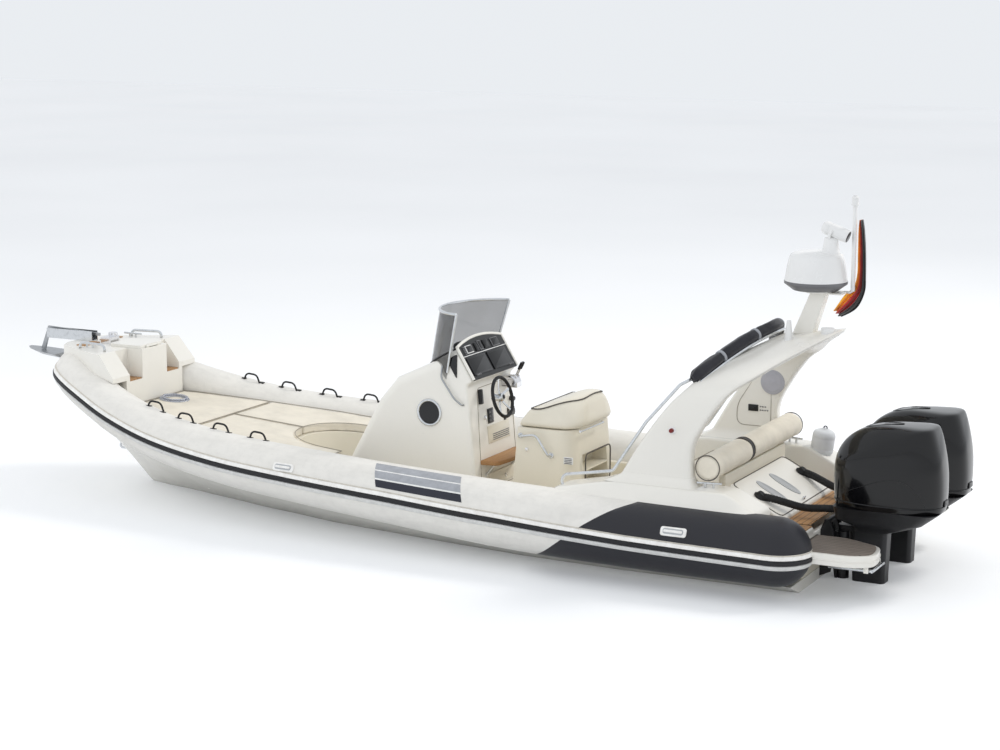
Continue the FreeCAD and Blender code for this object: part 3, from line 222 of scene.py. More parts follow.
def plastic(name, colour, roughness=0.35, mottle=0.07):
    n = Nodes(name)
    return n.finish(Base_Color=n.ramp(n.noise(5.0), (0.3, shade(colour, 1 - mottle)), (0.65, colour)),
                    Roughness=n.span(n.noise(12.0), roughness - 0.04, roughness + 0.06),
                    Normal=n.bump(n.noise(260.0, 2.0), 0.0003, 0.15))


def rubber(name, colour, roughness=0.6):
    n = Nodes(name)
    scuffs = n.noise(18.0, 8.0, 0.7)
    return n.finish(Base_Color=n.ramp(scuffs, (0.3, colour), (0.72, shade(colour, 1.12, 0.015))),
                    Roughness=n.span(scuffs, roughness - 0.1, roughness + 0.12),
                    Normal=n.bump(n.noise(240.0, 2.0), 0.0006, 0.4))


def steel(name, colour, roughness=0.16):
    n = Nodes(name)
    streaks = n.noise(3.0, 6.0, 0.7, n.stretch(60.0, 60.0, 6.0))
    return n.finish(Base_Color=n.ramp(n.noise(22.0, 8.0, 0.7), (0.2, shade(colour, 0.82)), (0.5, colour)),
                    Metallic=1.0, Roughness=n.span(streaks, roughness - 0.06, roughness + 0.12),
                    Normal=n.bump(streaks, 0.0003, 0.2))


def gloss_paint(name, colour, roughness=0.07):
    """Lacquered cowl: deep colour, clear coat and a veil of dried spray."""
    n = Nodes(name)
    veil = n.noise(2.4)
    spray = n.math("MULTIPLY", n.noise(38.0, 8.0, 0.75), veil)
    return n.finish(Base_Color=n.ramp(spray, (0.2, colour), (0.42, shade(colour, 1, 0.025))),
                    Roughness=n.span(veil, roughness, roughness + 0.12),
                    Normal=n.bump(n.noise(45.0, 2.0), 0.0004, 0.12),
                    Coat_Weight=0.35, Coat_Roughness=0.04, Specular_IOR_Level=0.3)


def painted_metal(name, colour, roughness=0.36):
    n = Nodes(name)
    worn = n.noise(9.0, 8.0, 0.7)
    return n.finish(Base_Color=n.ramp(worn, (0.3, colour), (0.75, shade(colour, 1, 0.05))),
                    Metallic=0.15, Roughness=n.span(worn, roughness - 0.08, roughness + 0.15),
                    Normal=n.bump(n.noise(120.0, 3.0), 0.0005, 0.3))


def planked_teak(name, along="X", plank=0.052):
    """Teak strips with black caulking, grain along the strips."""
    n = Nodes(name)
    joint = n.caulking("Y" if along == "X" else "X", plank, 0.035, 0.06)
    stretched = (3.0, 60.0, 60.0) if along == "X" else (60.0, 3.0, 60.0)
    grain = n.noise(2.2, 8.0, 0.7, n.stretch(*stretched))
    wood = n.ramp(grain, (0.25, (0.52, 0.36, 0.22)), (0.5, (0.68, 0.50, 0.32)), (0.75, (0.78, 0.62, 0.44)))
    tone = n.ramp(n.noise(2.0, 3.0), (0.3, (0.60, 0.44, 0.28)), (0.7, (0.76, 0.62, 0.46)))
    fibres = n.bump(grain, 0.0006, 0.5)
    return n.finish(Base_Color=n.mix(joint, (0.018, 0.016, 0.014, 1), n.mix(0.35, wood, tone)),
                    Roughness=n.span(grain, 0.5, 0.72), Normal=n.bump(joint, 0.0015, 0.6, fibres))


def weathered_deck(name):
    """Bathing platform tread: greyed synthetic planks."""
    n = Nodes(name)
    joint = n.caulking("Y", 0.045, 0.03, 0.06)
    grain = n.noise(2.0, 8.0, 0.7, n.stretch(4.0, 60.0, 60.0))
    board = n.ramp(grain, (0.25, (0.40, 0.36, 0.33)), (0.7, (0.56, 0.52, 0.48)))
    return n.finish(Base_Color=n.mix(joint, (0.03, 0.03, 0.03, 1), board),
                    Roughness=n.span(grain, 0.6, 0.8), Normal=n.bump(joint, 0.0012, 0.6))


def canvas(name, colour):
    n = Nodes(name)
    weave = n.add("ShaderNodeTexChecker", Vector=n.place, Scale=900.0).outputs["Fac"]
    folds = n.noise(6.0, 5.0, 0.6)
    return n.finish(Base_Color=n.ramp(folds, (0.3, colour), (0.7, shade(colour, 1.25, 0.03, 2.0))),
                    Roughness=n.span(folds, 0.75, 0.95), Sheen_Weight=0.3,
                    Normal=n.bump(folds, 0.01, 0.5, n.bump(weave, 0.0004, 0.3)))


def tinted_glass(name, colour, clear=0.0, roughness=0.02):
    """Tinted pane. clear is the share of light that goes straight through."""
    n = Nodes(name)
    haze = n.noise(6.0, 5.0)
    return n.finish(Base_Color=n.ramp(haze, (0.3, colour), (0.7, shade(colour, 1.1))),
                    Roughness=n.span(haze, roughness, roughness + 0.05),
                    Alpha=n.span(haze, 1.0 - clear, min(1.0, 1.04 - clear)))


def braided(name, colour, fleck):
    n = Nodes(name)
    wave = n.add("ShaderNodeTexWave", Vector=n.place, Scale=60.0, Distortion=6.0).outputs["Fac"]
    return n.finish(Base_Color=n.ramp(wave, (0.3, colour), (0.85, fleck)),
                    Roughness=n.span(wave, 0.7, 0.9), Normal=n.bump(wave, 0.002, 0.7))


CREAM = (0.91, 0.885, 0.82)
PALE_GREY = (0.70, 0.71, 0.72)
hull_white = gelcoat("hull_white", (0.93, 0.92, 0.89))
console_white = gelcoat("console_white", (0.945, 0.935, 0.905), 0.28)
# Painted shade: pale grey that stands for the shade inside the locker's leaf recesses and under the carry
# handles' grips.
shaded_grey = gelcoat("shaded_grey", PALE_GREY, 0.4)
deck_cream = gelcoat("deck_cream", (0.92, 0.90, 0.85), 0.3)
inner_cream = gelcoat("inner_cream", CREAM, 0.34, 0.05)
tube_white = coated_fabric("tube_white", (0.92, 0.91, 0.885))
tube_black = coated_fabric("tube_black", (0.105, 0.105, 0.135), 0.42)
strake_beige = rubber("strake_beige", (0.76, 0.74, 0.70), 0.5)
strake_white = rubber("strake_white", (0.90, 0.89, 0.87), 0.5)
strake_black = rubber("strake_black", (0.06, 0.06, 0.075), 0.5)
# Painted shade: the strake's lower rib is white; this grey is that white as it looks in shade.
strake_painted_shade = rubber("strake_painted_shade", (0.80, 0.80, 0.79), 0.5)
cushion_cream = vinyl("cushion_cream", (0.915, 0.885, 0.82))
piping = vinyl("piping", (0.62, 0.59, 0.54))
piping_dark = rubber("piping_dark", (0.30, 0.28, 0.26))
polished = steel("polished", (0.86, 0.87, 0.88))
chromed = steel("chromed", (0.92, 0.92, 0.93), 0.09)
zinced = steel("zinced", PALE_GREY, 0.34)
teak_long = planked_teak("teak_long")
teak_cross = planked_teak("teak_cross", "Y")
swim_deck = weathered_deck("swim_deck")
black_plastic = plastic("black_plastic", (0.10, 0.10, 0.11), 0.3)
screen_black = plastic("screen_black", (0.035, 0.037, 0.045), 0.34, 0.3)
white_plastic = plastic("white_plastic", (0.93, 0.93, 0.925), 0.25, 0.015)
speaker_grey = plastic("speaker_grey", (0.70, 0.70, 0.73), 0.5)
grey_plastic = plastic("grey_plastic", (0.45, 0.45, 0.46), 0.4)
black_rubber = rubber("black_rubber", (0.07, 0.07, 0.075))
cowl_black = gloss_paint("cowl_black", (0.025, 0.025, 0.032))
recess_black = plastic("recess_black", (0.06, 0.06, 0.07), 0.3)
leg_black = painted_metal("leg_black", (0.08, 0.08, 0.09))
propeller_metal = steel("propeller_metal", (0.66, 0.67, 0.68), 0.25)
smoked = tinted_glass("smoked", (0.10, 0.095, 0.09), 0.62)
dark_glass = tinted_glass("dark_glass", (0.06, 0.065, 0.075), 0.0, 0.04)
black_canvas = canvas("black_canvas", (0.10, 0.10, 0.125))
flag_black = canvas("flag_black", (0.06, 0.06, 0.065))
flag_red = canvas("flag_red", (0.66, 0.09, 0.08))
flag_gold = canvas("flag_gold", (0.90, 0.64, 0.13))
rope_white = braided("rope_white", (0.42, 0.46, 0.58), (0.93, 0.93, 0.92))
plain_wood = planked_teak("plain_wood", "Y", 4.0)
fender_white = vinyl("fender_white", (0.90, 0.91, 0.92))
pad_grey = rubber("pad_grey", (0.60, 0.61, 0.63), 0.65)
pad_light = rubber("pad_light", (0.86, 0.86, 0.85))
pad_navy = rubber("pad_navy", (0.13, 0.135, 0.18), 0.55)
side_light_red = tinted_glass("side_light_red", (0.45, 0.05, 0.04), 0.1, 0.08)


# Pieces
def mark(piece, replaces):
    """Hides the CAD node that a piece takes the place of."""
    if replaces:
        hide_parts(replaces)
    return piece


def settle(piece, material, body=BOAT, replaces=None, slot=None):
    """Gives a piece its material and the body that it rides on."""
    for face in piece.data.polygons:
        face.use_smooth = True
    piece.data.materials.append(material)
    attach(piece, body)
    return mark(piece, replaces)


def new_piece(name, points, faces, material, **more):
    mesh = bpy.data.meshes.new(name)
    mesh.from_pydata([tuple(p) for p in points], [], faces)
    mesh.validate()
    return settle(in_scene(name, mesh), material, **more)


def joined(name, pieces, replaces=None):
    """Several pieces made into one."""
    bpy.ops.object.select_all(action="DESELECT")
    for piece in pieces:
        piece.select_set(True)
    whole = pieces[0]
    bpy.context.view_layer.objects.active = whole
    bpy.ops.object.join()
    whole.name = name
    whole.data.name = name
    return mark(whole, replaces)


def modify(piece, kind, **settings):
    """Adds a modifier to a piece."""
    modifier = piece.modifiers.new(kind.lower(), kind)
    for key, value in settings.items():
        setattr(modifier, key, value)
    return modifier


def soften(piece, width, segments, degrees):
    """Rounds a piece's sharp edges a little, and shades its flat faces flat."""
    if width:
        modify(piece, "BEVEL", width=width, segments=segments, limit_method="ANGLE",
               angle_limit=math.radians(degrees), use_clamp_overlap=True, harden_normals=False)
    modify(piece, "WEIGHTED_NORMAL", keep_sharp=True)


SAME_POINT = 5e-5               # closer points of a CAD mesh are one point
FLAT_ANGLE = math.radians(1.2)  # faces that meet at less are one face


def dress(node, material, edge):
    """A CAD node that stays: clean faces, softened edges and a material."""
    piece = nodes[node]
    piece.data.materials.clear()
    piece.data.materials.append(material)
    for face in piece.data.polygons:
        face.material_index = 0
        face.use_smooth = True
    modify(piece, "WELD", merge_threshold=SAME_POINT)
    modify(piece, "DECIMATE", decimate_type="DISSOLVE", angle_limit=FLAT_ANGLE)
    soften(piece, edge, 3, 28)


# Skins, tubes and outlines
def finish_normals(piece, degrees=50):
    """Turns every face outward and ends the smooth shading at sharp edges."""
    made = bmesh.new()
    made.from_mesh(piece.data)
    bmesh.ops.remove_doubles(made, verts=made.verts, dist=1e-5)
    bmesh.ops.recalc_face_normals(made, faces=made.faces)
    made.normal_update()
    limit = math.radians(degrees)
    for edge in made.edges:
        edge.smooth = len(edge.link_faces) == 2 and edge.calc_face_angle(0.0) < limit
    made.to_mesh(piece.data)
    made.free()
    return piece


def sweep(name, rings, material, closed=True, caps=True, loop=False, **more):
    """Skin over rings of equal point counts."""
    count = len(rings[0])
    points = [p for ring in rings for p in ring]
    faces = []
    for i in range(len(rings) if loop else len(rings) - 1):
        near = i * count
        far = ((i + 1) % len(rings)) * count
        for k in range(count if closed else count - 1):
            after = (k + 1) % count
            faces.append((near + k, near + after, far + after, far + k))
    if caps and closed and not loop:
        faces.append(tuple(reversed(range(count))))
        faces.append(tuple(range(len(points) - count, len(points))))
    return finish_normals(new_piece(name, points, faces, material, **more))


def circle(centre, first, second, radius, count):
    """Points round a circle, from the first direction toward the second."""
    turns = [2 * math.pi * k / count for k in range(count)]
    return [centre + (first * math.cos(turn) + second * math.sin(turn)) * radius for turn in turns]


def curve_value(before, first, second, after, t):
    """Catmull-Rom value between first and second."""
    return 0.5 * (2 * first + (second - before) * t + (2 * before - 5 * first + 4 * second - after) * t * t
                  + (3 * first - before - 3 * second + after) * t ** 3)


def smooth_rows(table, steps=STEPS):
    """Rows between the rows of a table, along a smooth curve through all of them."""
    rows = []
    last = len(table) - 1
    for i in range(last):
        four = (table[max(i - 1, 0)], table[i], table[i + 1], table[min(i + 2, last)])
        for s in range(steps):
            rows.append(tuple(curve_value(*column, s / steps) for column in zip(*four)))
    rows.append(tuple(table[last]))
    return rows


def between(table, value):
    """Value of a two-column table at a place between its rows."""
    if value <= table[0][0]:
        return table[0][1]
    for first, last in zip(table, table[1:]):
        if value <= last[0]:
            return first[1] + (last[1] - first[1]) * (value - first[0]) / (last[0] - first[0])
    return table[-1][1]


def corner_points(before, here, after, radius, share, steps):
    """Points of a curve that cuts a corner, over at most a share of each side."""
    reach = min(radius, (here - before).length * share, (after - here).length * share)
    if reach < 1e-5:
        return [here]
    first = here + (before - here).normalized() * reach
    last = here + (after - here).normalized() * reach
    shares = [s / steps for s in range(steps + 1)]
    return [first * (1 - t) ** 2 + here * 2 * t * (1 - t) + last * t * t for t in shares]


def rounded_route(corners, bend, steps=6):
    """Path through corners, each rounded."""
    path = [corners[0]]
    for before, here, after in zip(corners, corners[1:], corners[2:]):
        path += corner_points(before, here, after, bend, 0.45, steps)
    return path + [corners[-1]]


def rounded_loop(corners, reach, steps=4):
    """Closed loop in space through corners, each rounded."""
    points = []
    for before, here, after in zip(corners[-1:] + corners, corners, corners[1:] + corners[:1]):
        points += corner_points(before, here, after, reach, 0.46, steps)
    return points


def rounded_outline(corners, radius, steps=4):
    """2-D closed outline with rounded corners; each corner is (x, y) or (x, y, its own radius)."""
    flat = [Vector(corner[:2]) for corner in corners]
    points = []
    for i, corner in enumerate(corners):
        own = corner[2] if len(corner) > 2 else radius
        points += corner_points(flat[i - 1], flat[i], flat[(i + 1) % len(flat)], own, 0.48, steps)
    return points


def way_at(path, i):
    """Direction of a path at one of its points."""
    return (path[min(i + 1, len(path) - 1)] - path[max(i - 1, 0)]).normalized()


def across_and_above(way):
    """Level direction square to a way, and the one square to both."""
    across = way.cross(UP).normalized()
    return across, across.cross(way)


def tube_on_path(name, path, radius, material, ring_points=12, loop=False, **more):
    rings = []
    side = None
    count = len(path)
    for i, point in enumerate(path):
        direction = (path[(i + 1) % count] - path[i - 1]).normalized() if loop else way_at(path, i)
        if side is None:
            side = direction.orthogonal().normalized()
        side = (side - direction * side.dot(direction)).normalized()
        size = radius(i / (count - 1)) if callable(radius) else radius
        rings.append(circle(point, side, direction.cross(side), size, ring_points))
    return sweep(name, rings, material, loop=loop, **more)


def round_tube(name, route, radius, material, bend, **more):
    """Round tube along straight runs with rounded corners."""
    return tube_on_path(name, rounded_route([Vector(p) for p in route], bend), radius, material, **more)


def even_path(points, spacing):
    """Points at even distances along a path."""
    path = [points[0]]
    for first, last in zip(points, points[1:]):
        parts = max(1, round((last - first).length / spacing))
        path += [first.lerp(last, k / parts) for k in range(1, parts + 1)]
    return path


def divided(outline, longest):
    """The outline with extra points, so that no side is longer than a length."""
    points = []
    for first, last in zip(outline, outline[1:] + outline[:1]):
        parts = max(1, math.ceil((last - first).length / longest))
        points += [first.lerp(last, k / parts) for k in range(parts)]
    return points


def inset(outline, distance):
    """2-D outline moved inward by a distance."""
    around = outline[1:] + outline[:1]
    area = sum(a.x * b.y - b.x * a.y for a, b in zip(outline, around))
    sign = 1 if area > 0 else -1
    moved = []
    for before, here, after in zip(outline[-1:] + outline, outline, around):
        back = (here - before).normalized()
        ahead = (after - here).normalized()
        normal = Vector((-(back.y + ahead.y), back.x + ahead.x)) * sign
        step = Vector((0, 0))
        if back.length and ahead.length and normal.length > 1e-6:
            normal.normalize()
            across = Vector((-back.y, back.x)) * sign
            step = normal * distance * min(1.0 / max(normal.dot(across), 0.3), 2.0)
        moved.append(here + step)
    return moved


PLANES = {
    "XY": lambda a, b, c: Vector((a, b, c)),
    "XZ": lambda a, b, c: Vector((a, c, b)),
}


def soft_prism(name, corners, plane, low, high, edge, material, radius=0.0, steps=4, shape=None, middle=0,
               fine=None, **more):
    """Prism over a 2-D outline, with its end edges rounded. shape moves each finished point."""
    outline = rounded_outline(corners, radius)
    if fine:
        outline = divided(outline, fine)
    straight = high - low - 2 * edge
    levels = [(low + edge + straight * k / (middle + 1), outline) for k in range(1, middle + 1)]
    for s in range(steps + 1):
        turn = math.pi / 2 * s / steps
        lift = edge * (1 - math.sin(turn))
        ring = inset(outline, edge * (1 - math.cos(turn)))
        levels += [(low + lift, ring), (high - lift, ring)]
    levels.sort(key=lambda item: item[0])
    rings = [[PLANES[plane](p.x, p.y, level) for p in ring] for level, ring in levels]
    if shape:
        rings = [[shape(p) for p in ring] for ring in rings]
    return sweep(name, rings, material, **more)


def turned(name, profile, material, place=(0, 0, 0), direction=(0, 0, 1), around=48, **more):
    """Piece turned about an axis from (radius, height) points."""
    spin = UP.rotation_difference(Vector(direction)).to_matrix().to_4x4()
    where = Matrix.Translation(Vector(place)) @ spin
    rings = []
    for radius, height in profile:
        ring = circle(UP * height, AHEAD, PORT, max(radius, 1e-4), around)
        rings.append([where @ p for p in ring])
    return sweep(name, rings, material, **more)


SUNK = 0.002                    # how far small parts go into the surface that they stand on


def slab(name, centre, facing, width, height, depth, edge, material, radius=None, up=UP, **more):
    """Plate with rounded corners, standing out from a surface."""
    out = Vector(facing).normalized()
    right = up.cross(out).normalized()
    above = out.cross(right)
    half_w = width / 2
    half_h = height / 2
    corners = [(-half_w, -half_h), (half_w, -half_h), (half_w, half_h), (-half_w, half_h)]
    middle = Vector(centre)
    return soft_prism(name, corners, "XY", -SUNK, depth, min(edge, (depth + SUNK) * 0.45), material,
                      radius=radius or edge, steps=3,
                      shape=lambda p: middle + right * p.x + above * p.y + out * p.z, **more)


def knob(name, centre, facing, radius, depth, material, lip=0.3, around=32, **more):
    """Round part standing out from a surface, with a softened rim."""
    profile = [(0, -SUNK), (radius, -SUNK), (radius, depth * (1 - lip)),
               (radius * 0.94, depth * (1 - lip * 0.3)), (radius * 0.8, depth), (0, depth)]
    return turned(name, profile, material, centre, facing, around, **more)


# Tubes: the same rows as the CAD's, metres: x, y, z, radius, heading in degrees
TUBE_ROWS = [
    (0.265, 1.137, 0.352, 0.265, 0),
    (1.400, 1.137, 0.358, 0.268, 0),
    (2.500, 1.135, 0.384, 0.265, 1),
    (3.500, 1.105, 0.432, 0.246, 3),
    (4.400, 1.052, 0.482, 0.232, 6),
    (5.200, 0.962, 0.527, 0.221, 9),
    (5.900, 0.850, 0.610, 0.210, 13),
    (6.450, 0.720, 0.738, 0.202, 18),
    (6.900, 0.570, 0.893, 0.195, 26),
]
BOW_ROWS = [
    (6.900, 0.570, 0.893, 0.195, 26),
    (7.180, 0.425, 0.990, 0.190, 44),
    (7.335, 0.225, 1.018, 0.188, 68),
    (7.380, 0.000, 1.025, 0.188, 90),
]


def far_row(row):
    """The starboard row that matches a port row."""
    return (row[0], -row[1], row[2], row[3], 180 - row[4])


full_line = TUBE_ROWS + BOW_ROWS[1:] + [far_row(r) for r in reversed(TUBE_ROWS + BOW_ROWS[1:-1])]
smooth_line = smooth_rows(full_line)
SIDE_RINGS = (len(TUBE_ROWS) - 1) * STEPS
BOW_RINGS = 2 * (len(BOW_ROWS) - 1) * STEPS
STERN_X = TUBE_ROWS[0][0]
# Height over the tube's middle, and x where the white cloth meets the black
TAIL_CURVE = [(-0.268, 2.235), (-0.184, 2.090), (-0.058, 1.922), (0.073, 1.753), (0.201, 1.546),
              (0.262, 1.385), (0.268, 1.350)]
TAIL_RADIUS = 0.2675
TAIL_END = 2.55                 # from here forward the rings stand square to the tube
tail_curve = smooth_rows(TAIL_CURVE, 5)


def on_side(point, side):
    return Vector((point.x, point.y * side, point.z))


def row_frame(row):
    """Centre, outward direction and radius of the tube's section at a row."""
    x, y, z, radius, heading = row
    turn = math.radians(heading)
    return Vector((x, y, z)), Vector((math.sin(turn), math.cos(turn), 0)), radius


def tube_point(row, angle, lift=0.0):
    """Point on the tube: 0 degrees outward, 90 up."""
    centre, outwards, radius = row_frame(row)
    turn = math.radians(angle)
    return centre + (outwards * math.cos(turn) + UP * math.sin(turn)) * (radius + lift)


def tube_ring(row, side=1, lift=0.0):
    return [on_side(tube_point(row, 360 * k / ROUND, lift), side) for k in range(ROUND)]


def row_at(x):
    """Port row of the smooth line at x, between its rings."""
    rows = smooth_line[:SIDE_RINGS + 1]
    for first, second in zip(rows, rows[1:]):
        if x <= second[0]:
            t = max(0.0, (x - first[0]) / (second[0] - first[0]))
            return tuple(a + (b - a) * t for a, b in zip(first, second))
    return rows[-1]


def dome_rows():
    """Rows of the round end of a tube at the stern."""
    x, y, z, radius, _ = full_line[0]
    turns = [math.radians(degrees) for degrees in (88, 80, 70, 60, 50, 40, 30, 20, 10)]
    return [(x - radius * math.sin(turn), y, z, radius * math.cos(turn), 0) for turn in turns]


def tail_x(angle):
    """Where the white cloth meets the black at an angle round the tube."""
    return between(tail_curve, TAIL_RADIUS * math.sin(math.radians(angle)))


def slanted_rings(first, last, count, side):
    """Rings between two lines round the tube, each given as x for an angle."""
    rings = []
    for step in range(count + 1):
        ring = []
        for k in range(ROUND):
            angle = 360 * k / ROUND
            x = first(angle) + (last(angle) - first(angle)) * step / count
            ring.append(on_side(tube_point(row_at(x), angle), side))
        rings.append(ring)
    return rings


def make_tubes():
    tails = []
    for side, name in SIDES:
        rings = slanted_rings(tail_x, lambda angle: TAIL_END, 12, side)
        rings += [tube_ring(row, side) for row in smooth_line[:SIDE_RINGS + 1] if row[0] > TAIL_END + 0.02]
        sweep(f"tube_{name}_cloth", rings, tube_white, replaces=f"tube_{name}", slot="tube_white")
        rings = [tube_ring(row, side) for row in dome_rows()]
        rings += slanted_rings(lambda angle: STERN_X, tail_x, 20, side)
        tails.append(sweep(f"tail_{name}_cloth", rings, tube_black, slot="tube_black"))
    joined("tube_tails_cloth", tails, replaces="tube_tails")
    bow = smooth_line[SIDE_RINGS:SIDE_RINGS + BOW_RINGS + 1]
    sweep("tube_bow_cloth", [tube_ring(r) for r in bow], tube_white, replaces="tube_bow", slot="tube_white")


# x along a welded tape, and how far it stands off the tube there
TAPE_SECTION = [(0.0, 0.0004), (0.015, 0.0018), (0.030, 0.0018), (0.045, 0.0004)]


def make_seams():
    """Welded tapes round the tubes."""
    tapes = []
    for x in (2.62, 4.30, 6.60):
        for side, _ in SIDES:
            rings = [tube_ring(row_at(x + along), side, lift) for along, lift in TAPE_SECTION]
            tapes.append(sweep("seam", rings, tube_white, caps=False))
    joined("tube_seam_tapes", tapes)


# Bands of the rubbing strake: top and bottom over its middle, how far each stands proud, material
STRAKE_BANDS = [
    (0.036, 0.028, 0.006, 0.010, strake_beige),
    (0.028, -0.006, 0.012, 0.015, strake_white),
    (-0.006, -0.044, 0.020, 0.020, strake_black),
    # The lowest band is the white lower rib, painted grey for the shade on it.
    (-0.044, -0.082, 0.017, 0.012, strake_painted_shade),
]
# x, and how far the strake has risen on the tube from its place at the stern
STRAKE_RISE = [(0.265, 0.0), (1.4, 0.014), (2.5, 0.042), (3.5, 0.044), (4.4, 0.034),
               (5.2, 0.032), (7.38, 0.032)]
STRAKE_ROOT = -0.004            # the bands start this far inside the tube


def make_strakes():
    stern = [full_line[0][:4] + (-turn,) for turn in range(105, 0, -7)]
    rows = stern + smooth_line + [far_row(r) for r in reversed(stern)]
    bands = []
    for index, (top, bottom, proud_top, proud_bottom, material) in enumerate(STRAKE_BANDS):
        lip = min(0.005, (top - bottom) * 0.4)
        section = ((top, STRAKE_ROOT), (top, proud_top * 0.6), (top - lip, proud_top),
                   (bottom + lip, proud_bottom), (bottom, proud_bottom * 0.6), (bottom, STRAKE_ROOT))
        rings = []
        for row in rows:
            centre, outwards, size = row_frame(row)
            rise = between(STRAKE_RISE, row[0])
            rings.append([centre + outwards * (math.sqrt(size ** 2 - (height + rise) ** 2) + proud)
                          + UP * (height + rise) for height, proud in section])
        bands.append(sweep(f"strake_band_{index}", rings, material))
    joined("strake_bands", bands, replaces="strakes")


# Strips of a step pad on a tube: upper and lower angle in degrees, how far each stands proud, material
PAD_STRIPS = [
    (81, 60, 0.0020, pad_grey),
    (60, 57.5, 0.0025, pad_light),
    (57.5, 41, 0.0020, pad_grey),
    (41, 38, 0.0025, pad_light),
    (38, 24, 0.0020, pad_navy),
]
PAD_X = (2.90, 3.69)
PAD_TOP = 82                    # at this angle the pad's ends stand at PAD_X
PAD_LEAN = 0.0019               # how far the ends lean aft, per degree going down
PAD_COLUMNS = 12
PAD_ROWS = 8


def make_tube_pads():
    pads = []
    for side, name in SIDES:
        for index, (top, bottom, lift, material) in enumerate(PAD_STRIPS):
            rings = []
            for i in range(PAD_COLUMNS + 1):
                ring = []
                for k in range(PAD_ROWS + 1):
                    angle = top + (bottom - top) * k / PAD_ROWS
                    x = PAD_X[0] + (PAD_X[1] - PAD_X[0]) * i / PAD_COLUMNS + PAD_LEAN * (angle - PAD_TOP)
                    ring.append(on_side(tube_point(row_at(x), angle, lift), side))
                rings.append(ring)
            piece = sweep(f"step_pad_{name}_{index}", rings, material, closed=False)
            modify(piece, "SOLIDIFY", thickness=lift + 0.001, offset=-side)
            pads.append(piece)
    joined("step_pads", pads)


# CAD nodes that keep their shape: node, material, edge softening in metres
DRESSED = [
    ("hull", hull_white, 0.004),
    ("cockpit_moulding", inner_cream, 0.012),
    ("bow_seat_base", inner_cream, 0.012),
    ("bow_platform", hull_white, 0.016),
    ("anchor_locker_lid", hull_white, 0.008),
    ("bow_roller", polished, 0.002),
    ("windlass", chromed, 0.004),
    ("anchor", zinced, 0.003),
    ("towing_eye", polished, 0.002),
    ("cleats", polished, 0.003),
    ("teak", teak_long, 0.001),
    ("stern_deck", hull_white, 0.018),
    ("bench_base", inner_cream, 0.014),
    ("console", console_white, 0.024),
    ("radar_pylon", hull_white, 0.006),
    ("aerials", white_plastic, 0.004),
    ("flagstaff", white_plastic, 0),
    ("ladder", polished, 0),
    ("clamp_brackets", leg_black, 0.004),
    ("grab_rails", polished, 0),
]
for _, engine_side in SIDES:
    DRESSED += [
        (f"leg_{engine_side}", leg_black, 0.012),
        (f"swivel_{engine_side}", leg_black, 0.003),
        (f"propeller_{engine_side}", propeller_metal, 0.002),
    ]


# Arch: front outer, rear outer, rear inner and front inner corners of each section, port half
ARCH_ROWS = [
    ((1.620, 1.040, 0.738), (1.000, 1.040, 0.738), (1.000, 0.900, 0.738), (1.620, 0.900, 0.738)),
    ((1.430, 1.030, 1.060), (1.010, 1.030, 1.020), (1.010, 0.900, 1.020), (1.430, 0.900, 1.060)),
    ((1.230, 1.010, 1.340), (0.920, 1.010, 1.220), (0.920, 0.890, 1.220), (1.230, 0.890, 1.340)),
    ((1.080, 0.950, 1.510), (0.740, 0.970, 1.470), (0.760, 0.860, 1.440), (1.080, 0.840, 1.460)),
    ((1.010, 0.800, 1.590), (0.580, 0.860, 1.600), (0.600, 0.800, 1.560), (1.000, 0.740, 1.520)),
    ((0.900, 0.500, 1.690), (0.400, 0.480, 1.735), (0.420, 0.460, 1.690), (0.890, 0.470, 1.610)),
    ((0.700, 0.000, 1.800), (0.150, 0.000, 1.885), (0.170, 0.000, 1.850), (0.700, 0.000, 1.700)),
]
FOOT_RINGS = 6
FOOT_LOW = 0.737
FOOT_HEIGHT = 0.075
FOOT_SPREAD = 0.045             # how far the foot spreads at the moulding
FOOT_FORWARD = 2.2              # the front spreads this many times as far
FOOT_X = (1.62, 1.0)
FOOT_Y = (1.04, 0.90)
FOOT_LEAN = [(0.738, 0.0), (1.06, -0.19)]


def make_arch():
    port = [tuple(c for corner in row for c in corner) for row in ARCH_ROWS]
    starboard = [tuple(c for x, y, z in row for c in (x, -y, z)) for row in reversed(ARCH_ROWS[:-1])]
    rings = []
    for row in smooth_rows(port + starboard, 7):
        rings.append(rounded_loop([Vector(row[i:i + 3]) for i in (0, 3, 6, 9)], 0.045, 5))
    sweep("arch_shell", rings, hull_white, replaces="arch", slot="hull_gelcoat")
    flares = []
    for side, _ in SIDES:
        foot = []
        for step in range(FOOT_RINGS + 1):
            share = step / FOOT_RINGS
            spread = (1 - share) ** 2 * FOOT_SPREAD
            z = FOOT_LOW + FOOT_HEIGHT * share
            front = FOOT_X[0] + between(FOOT_LEAN, z) + spread * FOOT_FORWARD
            rear = FOOT_X[1] - spread
            outer = (FOOT_Y[0] + spread) * side
            inner = (FOOT_Y[1] - spread) * side
            flat = ((front, outer), (rear, outer), (rear, inner), (front, inner))
            corners = [Vector((x, y, z)) for x, y in flat]
            foot.append(rounded_loop(corners, 0.05, 5))
        flares.append(sweep("flare", foot, hull_white))
    joined("arch_feet", flares)


# Radius and depth of the steps of a loudspeaker's cone
CONE_STEPS = [(0.088, 0.015), (0.060, 0.008), (0.030, 0.016)]
# x and height of the corners of the panel line inside an arch leg
ARCH_PANEL = [(1.36, 0.86), (1.36, 1.03), (1.19, 1.30), (1.06, 1.28), (1.06, 0.86)]
ARCH_PANEL_Y = 0.8985
SPEAKER_PLACE = (1.045, 0.889, 1.245)
SIDE_LIGHT_BASE = (1.165, 1.014, 1.17)
SIDE_LIGHT_LENS = (1.168, 1.026, 1.17)
RADIO_PLACE = Vector((1.215, -0.899, 1.012))
# Places of the radio's buttons: three above four
RADIO_BUTTONS = [(1.152 - 0.021 * index, -0.899, z) for count, z in ((3, 1.026), (4, 0.996))
                 for index in range(count)]


